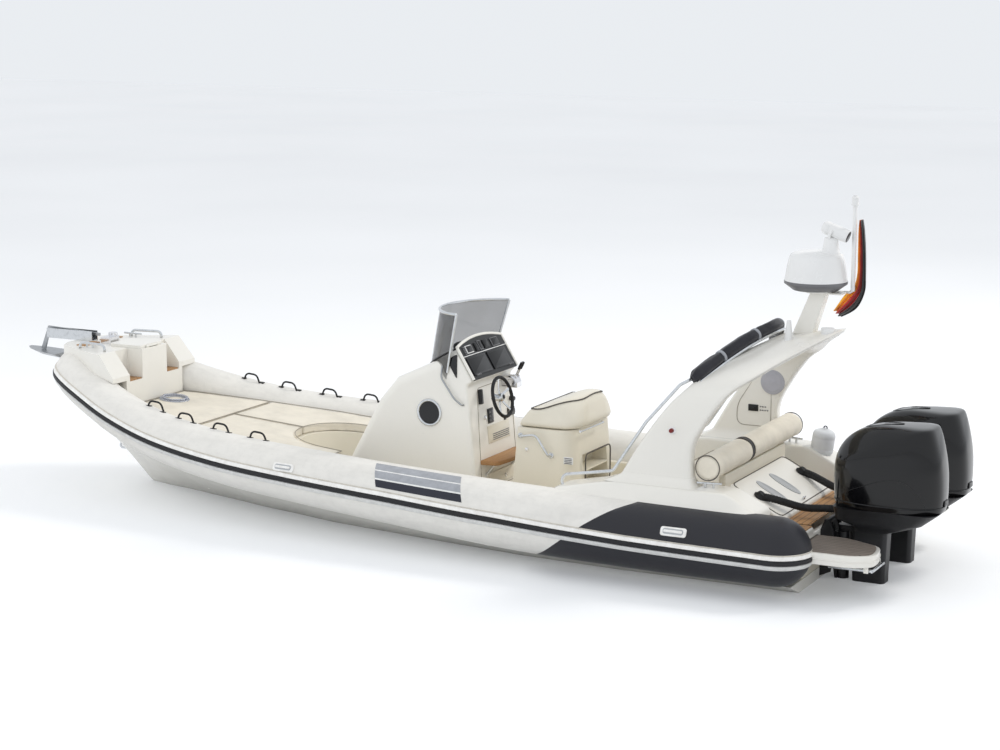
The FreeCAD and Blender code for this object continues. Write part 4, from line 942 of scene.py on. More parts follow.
def make_arch_gear():
    """Loudspeakers, radio, side lights and the panel lines on the arch's legs."""
    for side, name in SIDES:
        inside = PORT * -side
        outside = PORT * side
        speaker, base, lens = (on_side(Vector(place), side)
                               for place in (SPEAKER_PLACE, SIDE_LIGHT_BASE, SIDE_LIGHT_LENS))
        knob(f"speaker_rim_{name}", speaker, inside, 0.104, 0.012, speaker_grey, slot="grey_plastic")
        cones = [knob("cone", speaker, inside, radius, depth, speaker_grey, around=28)
                 for radius, depth in CONE_STEPS]
        joined(f"speaker_cone_{name}", cones)
        line = rounded_loop([Vector((x, 0, z)) for x, z in ARCH_PANEL], 0.07, 5)
        path = [Vector((p.x, ARCH_PANEL_Y * side, p.z)) for p in line]
        tube_on_path(f"arch_panel_line_{name}", path, 0.0028, piping, 6, loop=True, slot="grey_plastic")
        knob(f"side_light_base_{name}", base, outside, 0.030, 0.014, white_plastic, slot="white_plastic")
        knob(f"side_light_lens_{name}", lens, outside, 0.018, 0.028,
             side_light_red if side > 0 else dark_glass, 0.6, slot="smoked_glass")
    parts = [slab("radio_screen", RADIO_PLACE, PORT, 0.088, 0.056, 0.008, 0.004, screen_black)]
    parts += [slab("button", place, PORT, 0.012, 0.010, 0.005, 0.002, grey_plastic)
              for place in RADIO_BUTTONS]
    joined("stereo_radio", parts)


# Cowls: height, x of the aft and fore ends, half width, corner bluntness
COWL_ROWS = [
    (0.600, -0.772, 0.047, 0.238, 3.0),
    (0.607, -0.780, 0.058, 0.244, 3.0),
    (0.640, -0.786, 0.064, 0.250, 3.0),
    (0.740, -0.792, 0.068, 0.260, 3.2),
    (0.880, -0.788, 0.068, 0.266, 3.3),
    (0.980, -0.776, 0.054, 0.262, 3.4),
    (1.060, -0.760, 0.022, 0.258, 3.5),
    (1.130, -0.742, -0.035, 0.250, 3.6),
    (1.185, -0.726, -0.115, 0.240, 3.6),
    (1.222, -0.712, -0.205, 0.224, 3.6),
    (1.242, -0.694, -0.310, 0.190, 3.6),
    (1.249, -0.650, -0.440, 0.115, 3.4),
]
SEAM_ROW = (0.648, -0.7865, 0.0645, 0.2508, 3.02)
CROWN_CURVE = [(-0.65, 1.2495), (-0.44, 1.2495), (-0.31, 1.242), (-0.205, 1.222), (-0.115, 1.185)]
ENGINE_Y = 0.350
# x and height of the ridge between a cowl's flank and its crown
RIDGE_LINE = [(-0.700, 1.255), (-0.600, 1.215), (-0.480, 1.150), (-0.370, 1.095), (-0.250, 1.050),
              (-0.080, 1.000), (0.070, 0.955)]
RIDGE_LEAN = 2.5                # how fast the crown narrows above the ridge, per metre
# x and height of the moulded line on a cowl's flank
FLANK_LINE = [(-0.075, 0.655), (-0.085, 0.729), (-0.214, 0.793), (-0.340, 0.842), (-0.465, 0.862),
              (-0.549, 0.845), (-0.609, 0.793), (-0.665, 0.713), (-0.690, 0.655)]
COWL_POINTS = 56
COWL_NARROW_AFT = 0.10          # share of its width that a cowl loses at each end
COWL_NARROW_FORE = 0.16
# Air scoop on the crown: its middle and half length along x, half width, size and lift of its rings
SCOOP_X = -0.300
SCOOP_REACH = 0.150
SCOOP_HALF = 0.062
SCOOP_RINGS = [(1.0, 0.0005), (1.0, 0.0060), (0.90, 0.0065), (0.84, 0.0015), (0.45, 0.0010), (0.02, 0.0010)]
SCOOP_POINTS = 44
SCOOP_TEAR = 0.30               # how much wider its fore end is than its middle
CROWN_HALF = 0.16               # the crown falls by CROWN_FALL at this distance from its middle
CROWN_FALL = 0.030


def blunted(value, power):
    return math.copysign(abs(value) ** power, value)


def cowl_narrow(along):
    """How far a cowl narrows toward its ends; along runs from -1 aft to 1 fore."""
    return 1 - COWL_NARROW_AFT * max(0.0, -along) ** 2 - COWL_NARROW_FORE * max(0.0, along) ** 2


def cowl_ring(row, grow=0.0):
    z, aft, fore, half, blunt = row
    middle = (aft + fore) / 2
    reach = (fore - aft) / 2 + grow
    ring = []
    for k in range(COWL_POINTS):
        turn = 2 * math.pi * k / COWL_POINTS
        along = blunted(math.cos(turn), 2 / blunt)
        x = middle + along * reach
        lean = 1 - RIDGE_LEAN * max(0.0, z - between(RIDGE_LINE, x))
        y = blunted(math.sin(turn), 2 / blunt) * (half + grow) * cowl_narrow(along) * lean
        ring.append(Vector((x, y, z)))
    return ring


def cowl_half(x, z):
    """Half width of a cowl at a place on its flank."""
    aft, fore, half, blunt = (between([(row[0], row[i]) for row in COWL_ROWS], z) for i in (1, 2, 3, 4))
    along = (x - (aft + fore) / 2) / ((fore - aft) / 2)
    return half * cowl_narrow(along) * (1 - abs(along) ** blunt) ** (1 / blunt)


def scoop_rings(shift):
    """Rings of the teardrop air scoop, with a lip round it."""
    rings = []
    for grow, lift in SCOOP_RINGS:
        ring = []
        for k in range(SCOOP_POINTS):
            turn = 2 * math.pi * k / SCOOP_POINTS
            x = SCOOP_X + SCOOP_REACH * math.cos(turn) * grow
            y = SCOOP_HALF * math.sin(turn) * (1 + SCOOP_TEAR * math.cos(turn)) * grow
            z = between(CROWN_CURVE, x) - (y / CROWN_HALF) ** 2 * CROWN_FALL + lift
            ring.append(Vector((x, y, z)) + shift)
        rings.append(ring)
    return rings


def make_cowls():
    for side, name in SIDES:
        body = f"engine_{name}"
        shift = PORT * ENGINE_Y * side
        rings = [[p + shift for p in cowl_ring(row)] for row in smooth_rows(COWL_ROWS, 3)]
        sweep(f"cowl_{name}_shell", rings, cowl_black, body=body, replaces=f"cowl_{name}",
              slot="engine_gloss")
        seam = [p + shift for p in cowl_ring(SEAM_ROW, 0.0010)]
        parts = [tube_on_path("seam", seam, 0.005, recess_black, 6, loop=True, body=body)]
        for flank in (1, -1):
            line = [Vector((x, cowl_half(x, z) * flank, z)) + shift for x, z in smooth_rows(FLANK_LINE, 6)]
            parts.append(tube_on_path("flank_line", line, 0.0028, recess_black, 6, body=body))
        parts.append(sweep("scoop", scoop_rings(shift), recess_black, caps=False, body=body))
        parts.append(slab("latch", shift + Vector((-0.788, 0, 0.672)), -AHEAD, 0.10, 0.045, 0.010, 0.008,
                          recess_black, body=body))
        joined(f"cowl_{name}_trim", parts)


# Hood of the helm seat, which is the galley's lid: x, y and radius of its corners
HOOD_CORNERS = [(2.784, -0.420, 0.035), (2.784, 0.420, 0.035), (2.236, 0.420, 0.21), (2.236, -0.420, 0.21)]
HOOD_LOW = 0.944
HOOD_SHOULDER = 1.108
HOOD_HALF = 0.42
HOOD_CROWN = 0.098              # the top's rise over its shoulder, aft
HOOD_CROWN_X = (2.68, 2.34)     # the crown rises from the first x to the second
HOOD_SIDE_FALL = 0.35           # share of the crown that is lost at the sides
HOOD_NARROW = 0.40              # share of its width that the top loses at its aft end
HOOD_NARROW_X = (2.70, 2.28)
HOOD_LEAN = 0.125               # how far the front leans aft at its top
HOOD_LEAN_X = (2.35, 2.784)
HOOD_TUCK = 0.030               # how far the aft end leans forward at its top
HOOD_TUCK_X = (2.40, 2.24)
HOOD_SEAM = 0.004               # how far the top swells inside its piping
HOOD_SPACING = 0.04             # longest side of the hood's outline
HOOD_RINGS = 6                  # rings from the hood's rim to its middle
PIPING_HEIGHT = 1.101
# Corners along the grip on the seat's side
SEAT_GRIP = [(2.744, 0.418, 0.869), (2.736, 0.470, 0.872), (2.583, 0.474, 0.900),
             (2.531, 0.474, 0.826), (2.467, 0.470, 0.731), (2.467, 0.418, 0.728)]
SEAT_SIDE = 0.416
SEAT_AFT = 2.30                 # aft of this, and farther out than SEAT_OUT, lie its aft corners
SEAT_OUT = 0.40
SEAT_ROUND = 0.13
# Feet and lock of the seat's grip: x, height, radius, material
GRIP_KNOBS = [(2.744, 0.869, 0.024, polished), (2.467, 0.728, 0.024, polished),
              (2.689, 0.760, 0.015, chromed)]
LATCH_BAR = [Vector((2.222, y, 0.942)) for y in (-0.08, 0.16, 0.39)]
LATCH_POSTS = [Vector((2.232, y, 0.942)) for y in (-0.06, 0.37)]
VENT_X = 2.312
VENT_SLATS = (0.678, 0.692, 0.706, 0.720)
SHELF_X = 2.2345
SHELF_CORNERS = [(0.25, 0.43), (0.25, 0.73), (-0.25, 0.73), (-0.25, 0.43)]


def share_of(span, x):
    """How far x has come from the first value of a span to the second, from 0 to 1."""
    return max(0.0, min(1.0, (x - span[0]) / (span[1] - span[0])))


def hood_crown(x, y, narrow=1.0):
    """Height of the hood's top over its shoulder."""
    aft = share_of(HOOD_CROWN_X, x)
    smooth = 3 * aft ** 2 - 2 * aft ** 3
    return HOOD_CROWN * smooth * (1 - HOOD_SIDE_FALL * min(1.0, abs(y) / (HOOD_HALF * narrow)) ** 2)


def hood_narrow(x, rise):
    """How far the hood's upper part draws in toward its middle, going aft."""
    return 1 - HOOD_NARROW * share_of(HOOD_NARROW_X, x) ** 1.3 * rise ** 1.6


def hood_shape(p):
    """Leans the hood's front aft, draws in its quarters and crowns its top."""
    rise = max(0.0, (p.z - HOOD_LOW) / (HOOD_SHOULDER - HOOD_LOW))
    lean = HOOD_LEAN * rise * share_of(HOOD_LEAN_X, p.x) ** 1.5
    narrow = hood_narrow(p.x, rise)
    y = p.y * narrow
    first, last = HOOD_TUCK_X
    ahead = HOOD_TUCK * rise ** 2 * max(0.0, (first - p.x) / (first - last))
    return Vector((p.x - lean + ahead, y, p.z + hood_crown(p.x, y, narrow) * rise ** 1.4))


def fill_hood(hood):
    """Fills the hood's broad top face with rings that shrink to its middle."""
    mesh = bmesh.new()
    mesh.from_mesh(hood.data)
    ends = [face for face in mesh.faces if len(face.verts) > 8]
    cap = max(ends, key=lambda face: face.calc_center_median().z)
    rim = list(cap.verts)
    centre = sum((v.co for v in rim), Vector()) / len(rim)
    mesh.faces.remove(cap)
    before = rim
    for ring in range(1, HOOD_RINGS):
        share = ring / HOOD_RINGS
        fresh = []
        for vert in rim:
            flat = vert.co.lerp(centre, share)
            height = HOOD_SHOULDER + hood_crown(flat.x, flat.y, hood_narrow(flat.x, 1.0))
            fresh.append(mesh.verts.new((flat.x, flat.y, height + HOOD_SEAM * min(1.0, share * 3))))
        for k in range(len(rim)):
            after = (k + 1) % len(rim)
            mesh.faces.new((before[k], before[after], fresh[after], fresh[k])).smooth = True
        before = fresh
    mesh.faces.new(before).smooth = True
    bmesh.ops.recalc_face_normals(mesh, faces=mesh.faces)
    mesh.to_mesh(hood.data)
    mesh.free()


def seat_corner(edge):
    """Whether an edge is one of the seat's two tall aft corners."""
    a, b = (v.co for v in edge.verts)
    return all(end.x < SEAT_AFT and abs(end.y) > SEAT_OUT for end in (a, b)) and abs(a.z - b.z) > 0.3


def rounded_seat():
    """The CAD seat with its aft corners rounded broadly and its other edges a little."""
    mesh = nodes["helm_seat_base"].data.copy()
    made = bmesh.new()
    made.from_mesh(mesh)
    bmesh.ops.remove_doubles(made, verts=made.verts, dist=SAME_POINT)
    bmesh.ops.dissolve_limit(made, angle_limit=FLAT_ANGLE, verts=made.verts, edges=made.edges)
    broad = [edge for edge in made.edges if seat_corner(edge)]
    bmesh.ops.bevel(made, geom=broad, offset=SEAT_ROUND, segments=8, profile=0.5, affect="EDGES")
    made.to_mesh(mesh)
    made.free()
    mesh.materials.clear()
    piece = in_scene("seat_base", mesh)
    soften(piece, 0.010, 3, 32)
    return piece


def make_helm_seat():
    hood = soft_prism("seat_hood", HOOD_CORNERS, "XY", HOOD_LOW, HOOD_SHOULDER, 0.05, inner_cream, steps=6,
                      middle=3, fine=HOOD_SPACING, shape=hood_shape, body="galley_lid_body",
                      replaces="galley_lid", slot="deck_gelcoat")
    fill_hood(hood)
    outline = inset(divided(rounded_outline(HOOD_CORNERS, 0), HOOD_SPACING), 0.012)
    path = [hood_shape(Vector((p.x, p.y, PIPING_HEIGHT))) for p in outline]
    tube_on_path("seat_hood_piping", path, 0.0055, piping_dark, 8, loop=True, body="galley_lid_body",
                 slot="cushion_vinyl")
    settle(rounded_seat(), inner_cream, replaces="helm_seat_base", slot="deck_gelcoat")
    latch = [tube_on_path("tee", LATCH_BAR, 0.007, polished, 8)]
    latch += [knob("post", post, -AHEAD, 0.011, 0.012, polished, around=16) for post in LATCH_POSTS]
    joined("hood_latch", latch)
    grip = [round_tube("grip", SEAT_GRIP, 0.011, polished, 0.05)]
    for x, z, radius, look in GRIP_KNOBS:
        grip.append(knob("foot", (x, SEAT_SIDE, z), PORT, radius, 0.007, look))
    joined("seat_side_handle", grip)
    vents = [slab("vent", (VENT_X, 0.415, 0.699), PORT, 0.085, 0.060, 0.008, 0.006, white_plastic)]
    vents += [slab("slat", (VENT_X, 0.422, z), PORT, 0.066, 0.006, 0.005, 0.002, grey_plastic)
              for z in VENT_SLATS]
    joined("seat_vent", vents)
    shelf = [Vector((SHELF_X, y, z)) for y, z in SHELF_CORNERS]
    tube_on_path("shelf_edging", rounded_loop(shelf, 0.05), 0.006, piping_dark, 8, loop=True,
                 slot="grey_plastic")


# Instrument panel: a sloping face with its screens, units, switches and keys
PANEL_FOOT = Vector((3.190, 0, 1.275))
PANEL_UP = Vector((0.160, 0, 0.260)).normalized()
PANEL_OUT = Vector((-PANEL_UP.z, 0, PANEL_UP.x))
PANEL_THICK = 0.0245
PANEL_HALF = 0.405
PANEL_TOP = 1.535
PANEL_CROWN = 0.045
PANEL_EDGE = 0.013              # radius of the rounded brow and cheeks
SCREEN_WIDTH = 0.33
# Units over the screens: y, height, width, tall, material of the rim
PANEL_UNITS = [
    (0.245, 1.502, 0.110, 0.070, white_plastic),
    (0.110, 1.505, 0.050, 0.075, black_plastic),
    (0.040, 1.508, 0.060, 0.086, grey_plastic),
    (-0.065, 1.508, 0.085, 0.075, black_plastic),
    (-0.225, 1.502, 0.130, 0.078, grey_plastic),
]
PANEL_KEYS = [start + 0.028 * index for start in (-0.33, 0.27) for index in range(3)]


def on_panel(y, z, proud=0.0):
    """Place on the instrument panel's face."""
    place = PANEL_FOOT + PANEL_UP * ((z - PANEL_FOOT.z) / PANEL_UP.z) + PANEL_OUT * (PANEL_THICK + proud)
    return Vector((place.x, y, place.z))


def panel_slab(y, z, proud, *size_and_look):
    return slab("unit", on_panel(y, z, proud), PANEL_OUT, *size_and_look, up=PANEL_UP)


def make_panel():
    dress("instrument_panel", screen_black, 0.006)
    rims = []
    faces = []
    for y in (0.205, -0.165):
        rims.append(panel_slab(y, 1.376, 0, SCREEN_WIDTH, 0.165, 0.008, 0.004, black_plastic))
        faces.append(panel_slab(y, 1.378, 0.007, SCREEN_WIDTH - 0.036, 0.132, 0.0025, 0.0012, screen_black))
    for y, z, width, tall, look in PANEL_UNITS:
        rims.append(panel_slab(y, z, 0, width, tall, 0.007, 0.004, look))
        faces.append(panel_slab(y, z, 0.006, width - 0.014, tall - 0.014, 0.003, 0.0015, screen_black))
    for index in range(5):
        rims.append(panel_slab(0.325, 1.474 + 0.013 * index, 0, 0.026, 0.009, 0.005, 0.002, grey_plastic))
    rims.append(panel_slab(0, 1.458, 0, 0.770, 0.007, 0.005, 0.002, white_plastic))
    rims += [knob("key", on_panel(y, 1.308), PANEL_OUT, 0.009, 0.010, grey_plastic, around=16)
             for y in PANEL_KEYS]
    joined("panel_instruments", rims)
    joined("panel_screens", faces)
    stations = [PANEL_HALF * (1 - k / 10) for k in range(21)]
    upper = [on_panel(y, PANEL_TOP + PANEL_CROWN * (1 - (y / PANEL_HALF) ** 2)) for y in stations]
    lower = [on_panel(y, 1.530) for y in stations]
    back = PANEL_OUT * 0.020
    front = PANEL_OUT * 0.001
    filler = [[a - back, a - front, b - front, b - back] for a, b in zip(upper, lower)]
    sweep("panel_arch", filler, screen_black, slot="black_plastic")
    behind = PANEL_OUT * 0.006
    brow = [p - behind + PANEL_UP * 0.006 for p in upper]
    tube_on_path("panel_brow", brow, PANEL_EDGE, console_white, 10, slot="deck_gelcoat")
    for side, name in SIDES:
        edge = [on_panel(PANEL_HALF * side, z) - behind for z in (1.282, 1.40, PANEL_TOP)]
        tube_on_path(f"panel_cheek_{name}", edge, PANEL_EDGE, console_white, 10, slot="deck_gelcoat")


WHEEL_AXIS = Vector((0.966, 0, -0.259)).normalized()
WHEEL_UP = WHEEL_AXIS.cross(PORT)
WHEEL_CENTRE = Vector((3.062, 0.110, 1.112))
WHEEL_RADIUS = 0.166
SPOKE_TURNS = (90, 162, 234, 306, 18)
# Along a spoke: share of the wheel's radius, half width, how far it is dished
SPOKE_ROWS = [(0.14, 0.017, 0.024), (0.45, 0.013, 0.020), (0.8, 0.012, 0.006), (0.96, 0.015, 0.0)]
SPOKE_SECTION = [(-1, -0.4), (-0.6, -1), (0.6, -1), (1, -0.4), (1, 0.4), (0.6, 1), (-0.6, 1), (-1, 0.4)]
SPOKE_THICK = 0.003
HUB = [(0, -0.012), (0.022, -0.011), (0.034, -0.004), (0.036, 0.010), (0.036, 0.030), (0.024, 0.036),
       (0.024, 0.095), (0, 0.095)]
HUB_CAP = [(0, -0.020), (0.014, -0.018), (0.022, -0.010), (0.022, -0.006), (0, -0.006)]


def make_wheel():
    body = "wheel"
    rim = circle(WHEEL_CENTRE, PORT, WHEEL_UP, WHEEL_RADIUS, 48)
    wheel = [tube_on_path("rim", rim, 0.0145, black_rubber, 14, loop=True, body=body)]
    for turn in SPOKE_TURNS:
        way = PORT * math.cos(math.radians(turn)) + WHEEL_UP * math.sin(math.radians(turn))
        aside = WHEEL_AXIS.cross(way)
        rings = []
        for share, width, dish in SPOKE_ROWS:
            at = WHEEL_CENTRE + way * WHEEL_RADIUS * share + WHEEL_AXIS * dish
            rings.append([at + aside * width * a + WHEEL_AXIS * SPOKE_THICK * b for a, b in SPOKE_SECTION])
        wheel.append(sweep("spoke", rings, polished, body=body))
    wheel.append(turned("hub", HUB, polished, WHEEL_CENTRE, WHEEL_AXIS, body=body))
    wheel.append(turned("cap", HUB_CAP, black_plastic, WHEEL_CENTRE, WHEEL_AXIS, body=body))
    joined("helm_wheel", wheel, replaces="steering_wheel")


# Side view of the throttle's box: x, height and corner radius
CONTROL_BOX = [(3.090, 1.130), (3.260, 1.130), (3.260, 1.225, 0.03), (3.200, 1.232, 0.05),
               (3.120, 1.226, 0.05), (3.090, 1.190, 0.03)]


def make_controls():
    control = [soft_prism("control_box", CONTROL_BOX, "XZ", -0.320, -0.210, 0.016, chromed, radius=0.01)]
    for y, way in ((-0.285, -1), (-0.250, 1)):
        low = Vector((3.125, y, 1.215))
        tip = Vector((3.0585, y, 1.348))
        control.append(knob("pivot", low + PORT * 0.008 * way, PORT * way, 0.024, 0.008, chromed))
        control.append(tube_on_path("arm", [low, low.lerp(tip, 0.5), tip], 0.0065, chromed, 10))
        control.append(tube_on_path("grip", [low.lerp(tip, 0.55 + 0.15 * k) for k in range(4)],
                                    lambda share: 0.0135 - 0.004 * abs(share - 0.5), black_rubber))
    joined("engine_controls", control, replaces="helm_controls")


# The console's aft face, and what stands on it
CONSOLE_LOW = 0.270
CONSOLE_TALL = 0.965
CONSOLE_AFT = 3.140
CONSOLE_RAKE = 0.100
CONSOLE_OUT = Vector((-1, 0, 0.10))
# Plates and switches: y, height, how far the back stands proud, width, tall, depth, edge, material
CONSOLE_PLATES = [
    (0.050, 0.930, 0, 0.100, 0.125, 0.010, 0.006, black_plastic),
    (-0.335, 0.902, 0, 0.130, 0.072, 0.010, 0.006, black_plastic),
    (-0.214, 0.865, 0, 0.036, 0.036, 0.008, 0.004, black_plastic),
    (-0.080, 0.775, 0, 0.400, 0.150, 0.006, 0.004, inner_cream),
    (-0.055, 0.405, 0, 0.460, 0.110, 0.008, 0.006, deck_cream),
    (0.215, 1.115, 0, 0.045, 0.125, 0.030, 0.008, black_plastic),
]
for slot_row in range(4):
    CONSOLE_PLATES.append((-0.110, 0.722 + 0.016 * slot_row, 0.004, 0.300, 0.007, 0.005, 0.002, grey_plastic))
    CONSOLE_PLATES.append((-0.385 + 0.033 * slot_row, 0.902, 0.009, 0.022, 0.036, 0.006, 0.003, grey_plastic))
for switch_row in range(3):
    for y in (0.030, 0.070):
        switch_z = 0.895 + 0.034 * switch_row
        CONSOLE_PLATES.append((y, switch_z, 0.009, 0.026, 0.022, 0.006, 0.003, grey_plastic))
CONSOLE_FRAME = [(0.243, 1.190), (0.316, 0.330), (-0.360, 0.330), (-0.380, 1.190)]
FOOT_REST = [(3.175, 0.300), (3.175, -0.350), (3.020, -0.330, 0.06), (2.985, -0.025, 0.20),
             (3.020, 0.280, 0.06)]


def on_console(y, z, proud=0.0):
    """Place on the console's aft face."""
    return Vector((CONSOLE_AFT + CONSOLE_RAKE * (z - CONSOLE_LOW) / CONSOLE_TALL - proud, y, z))


def make_console_fittings():
    parts = [slab("plate", on_console(y, z, proud), CONSOLE_OUT, *size_and_look)
             for y, z, proud, *size_and_look in CONSOLE_PLATES]
    parts.append(knob("search_knob", on_console(-0.345, 1.010), CONSOLE_OUT, 0.020, 0.045, black_plastic))
    joined("console_switches", parts)
    latch = [knob("drawer_latch", on_console(-0.120, 0.394, 0.008), CONSOLE_OUT, 0.016, 0.008, chromed),
             knob("key_switch", on_console(0.150, 0.93), CONSOLE_OUT, 0.018, 0.012, chromed)]
    joined("console_latches", latch)
    line = rounded_loop([on_console(y, z, 0.001) for y, z in CONSOLE_FRAME], 0.04)
    tube_on_path("console_frame_line", line, 0.0028, piping, 6, loop=True, slot="grey_plastic")
    soft_prism("foot_rest", FOOT_REST, "XY", 0.556, 0.594, 0.010, plain_wood, radius=0.01, slot="teak")
    stays = []
    for y in (0.22, -0.27):
        stay = [(3.172, y, 0.440), (3.080, y, 0.552), (3.060, y, 0.562)]
        stays.append(round_tube("stay", stay, 0.011, polished, 0.02))
    joined("foot_rest_stays", stays)


# Windscreen: half width, x of the aft ends, of the turn and of the front, height
SCREEN_ROWS = [
    (0.410, 3.440, 3.500, 3.760, 1.240),
    (0.451, 3.372, 3.432, 3.704, 1.537),
    (0.492, 3.298, 3.360, 3.642, 1.835),
]
SEAL_ROW = (0.430, 3.408, 3.468, 3.735, 1.385)
SCREEN_POINTS = 24              # steps round the windscreen's front
SCREEN_THICK = 0.005
CONSOLE_CREST = [(3.350, 1.535), (3.620, 1.390), (3.920, 1.250)]
CREST_HALF = 0.412
# Corners of the small panes in the console's sides: x and height
QUARTER_LIGHT = [(3.426, 1.442), (3.328, 1.500), (3.331, 1.289)]
# Grab rails on the console's sides: x, y and height
SIDE_RAIL = [(3.467, 0.416, 1.390), (3.468, 0.440, 1.294), (3.343, 0.446, 1.127), (3.277, 0.440, 1.079),
             (3.268, 0.416, 1.074)]
COMPASS_PLACE = (3.440, 0.150, 1.488)
COMPASS_OUT = (0.45, 0, 0.89)
COMPASS_BASE = [(0, 0), (0.062, 0.0), (0.060, 0.020), (0.050, 0.030), (0, 0.030)]
COMPASS_DOME = [(0.048, 0.028), (0.044, 0.048), (0.030, 0.064), (0, 0.070)]


def screen_line(row):
    """The windscreen's line at one height, from port round the front to starboard."""
    half, aft, turn_x, front, z = row
    sag = front - turn_x
    radius = (half ** 2 + sag ** 2) / (2 * sag)
    reach = math.asin(min(1.0, half / radius)) if sag < half else math.pi / 2
    halfway = (aft + turn_x) / 2
    points = [Vector((aft, half, z)), Vector((halfway, half, z))]
    for k in range(SCREEN_POINTS + 1):
        turn = reach * (1 - 2 * k / SCREEN_POINTS)
        points.append(Vector((front - radius + radius * math.cos(turn), radius * math.sin(turn), z)))
    points += [Vector((halfway, -half, z)), Vector((aft, -half, z))]
    for _ in range(4):
        inner = [(a + b * 2 + c) / 4 for a, b, c in zip(points, points[1:], points[2:])]
        points = [points[0]] + inner + [points[-1]]
    return points


def make_windscreen():
    lines = [screen_line(row) for row in smooth_rows(SCREEN_ROWS, 5)]
    rings = []
    for line in lines:
        inner = []
        for i, p in enumerate(line):
            way = way_at(line, i)
            inner.append(p + Vector((way.y, -way.x, 0)) * SCREEN_THICK)
        rings.append(line + list(reversed(inner)))
    sweep("windscreen_glass", rings, smoked, replaces="windscreen", slot="smoked_glass")
    top = [p + Vector((0.001, 0, 0.004)) for p in lines[-1]]
    rim = [tube_on_path("rim_top", top, 0.0115, polished)]
    for end in (0, -1):
        edge = [line[end] for line in lines if line[end].z > 1.30]
        rim.append(tube_on_path("rim_side", edge, 0.0105, polished))
    joined("windscreen_rim_tube", rim, replaces="windscreen_rim")
    foot = [Vector((p.x, max(-CREST_HALF, min(CREST_HALF, p.y)), between(CONSOLE_CREST, p.x) + 0.003))
            for p in screen_line(SEAL_ROW)]
    tube_on_path("windscreen_seal", foot, 0.009, black_rubber, 8, slot="black_rubber")
    quarters = []
    rails = []
    for side, _ in SIDES:
        pane = rounded_loop([Vector((x, 0.4165 * side, z)) for x, z in QUARTER_LIGHT], 0.02, 3)
        faces = [[p + PORT * side * depth for p in pane] for depth in (-0.001, 0.005)]
        quarters.append(sweep("quarter", faces, dark_glass))
        rails.append(round_tube("rail", [(x, y * side, z) for x, y, z in SIDE_RAIL], 0.008, zinced, 0.03))
    joined("quarter_lights", quarters)
    joined("console_side_rails", rails)
    compass = [turned("part", profile, look, COMPASS_PLACE, COMPASS_OUT, 32)
               for profile, look in ((COMPASS_BASE, black_plastic), (COMPASS_DOME, dark_glass))]
    joined("compass", compass)


# Upholstery
CLOTH_FRAMES = 20
CLOTH_PRESSURE = 4.0
CLOTH_STIFFNESS = 12.0
CLOTH_RISE = 0.010              # the most that a cushion swells
CREASE_SCALE = 9
CREASE_DEPTH = 0.0016


def bake(piece):
    """Applies a piece's modifiers to its mesh."""
    depsgraph = bpy.context.evaluated_depsgraph_get()
    mesh = bpy.data.meshes.new_from_object(piece.evaluated_get(depsgraph))
    piece.modifiers.clear()
    piece.data = mesh


def chains_of(edges):
    """Runs of points along edges that meet, and whether each run closes."""
    links = {}
    for edge in edges:
        a, b = edge.verts
        links.setdefault(a, []).append(b)
        links.setdefault(b, []).append(a)
    chains = []
    used = set()
    for start in [v for v in links if len(links[v]) == 1] + list(links):
        if start in used:
            continue
        chain = []
        onward = [start]
        while onward:
            chain.append(onward[0])
            used.add(onward[0])
            onward = [v for v in links[chain[-1]] if v not in used]
        closed = len(chain) > 2 and chain[0] in links[chain[-1]]
        chains.append(([v.co.copy() for v in chain], closed))
    return chains


def upper_edges(mesh_data):
    """Chains of points along the edges between a top face and a side face."""
    made = bmesh.new()
    made.from_mesh(mesh_data)
    bmesh.ops.remove_doubles(made, verts=made.verts, dist=SAME_POINT)
    made.normal_update()
    found = []
    for edge in made.edges:
        tilts = sorted(face.normal.z for face in edge.link_faces)
        if len(tilts) == 2 and tilts[1] > 0.7 and tilts[0] < 0.4:
            found.append(edge)
    chains = chains_of(found)
    made.free()
    return chains


def swell(piece):
    """Puffs a piece up by a short cloth run."""
    cloth = modify(piece, "CLOTH")
    cloth.settings.quality = 3
    cloth.settings.mass = 0.3
    cloth.settings.use_pressure = True
    cloth.settings.uniform_pressure_force = CLOTH_PRESSURE
    cloth.settings.effector_weights.gravity = 0.0
    cloth.settings.tension_stiffness = CLOTH_STIFFNESS
    cloth.settings.compression_stiffness = CLOTH_STIFFNESS
    cloth.point_cache.frame_start = 1
    cloth.point_cache.frame_end = CLOTH_FRAMES
    for step in range(1, CLOTH_FRAMES + 1):
        bpy.context.scene.frame_set(step)
    bake(piece)


def stuffed(node, voxel):
    """A CAD cushion puffed up, then held near its own shape."""
    piece = in_scene(f"{node}_pad", nodes[node].data.copy())
    modify(piece, "REMESH", mode="VOXEL", voxel_size=voxel)
    modify(piece, "SMOOTH", factor=0.5, iterations=5)
    bake(piece)
    rest = [(v.co.copy(), v.normal.copy()) for v in piece.data.vertices]
    swell(piece)
    for vertex, (home, normal) in zip(piece.data.vertices, rest):
        move = vertex.co - home
        if move.length > CLOTH_RISE:
            move = move.normalized() * CLOTH_RISE
        if normal.z < -0.3:
            move = Vector()
        crease = noise.noise(home * CREASE_SCALE) * CREASE_DEPTH
        vertex.co = home + move + normal * crease * max(0.0, normal.z + 0.3)
    bpy.context.scene.frame_set(1)
    piece.data.materials.clear()
    settle(piece, cushion_cream, replaces=node, slot="cushion_vinyl")


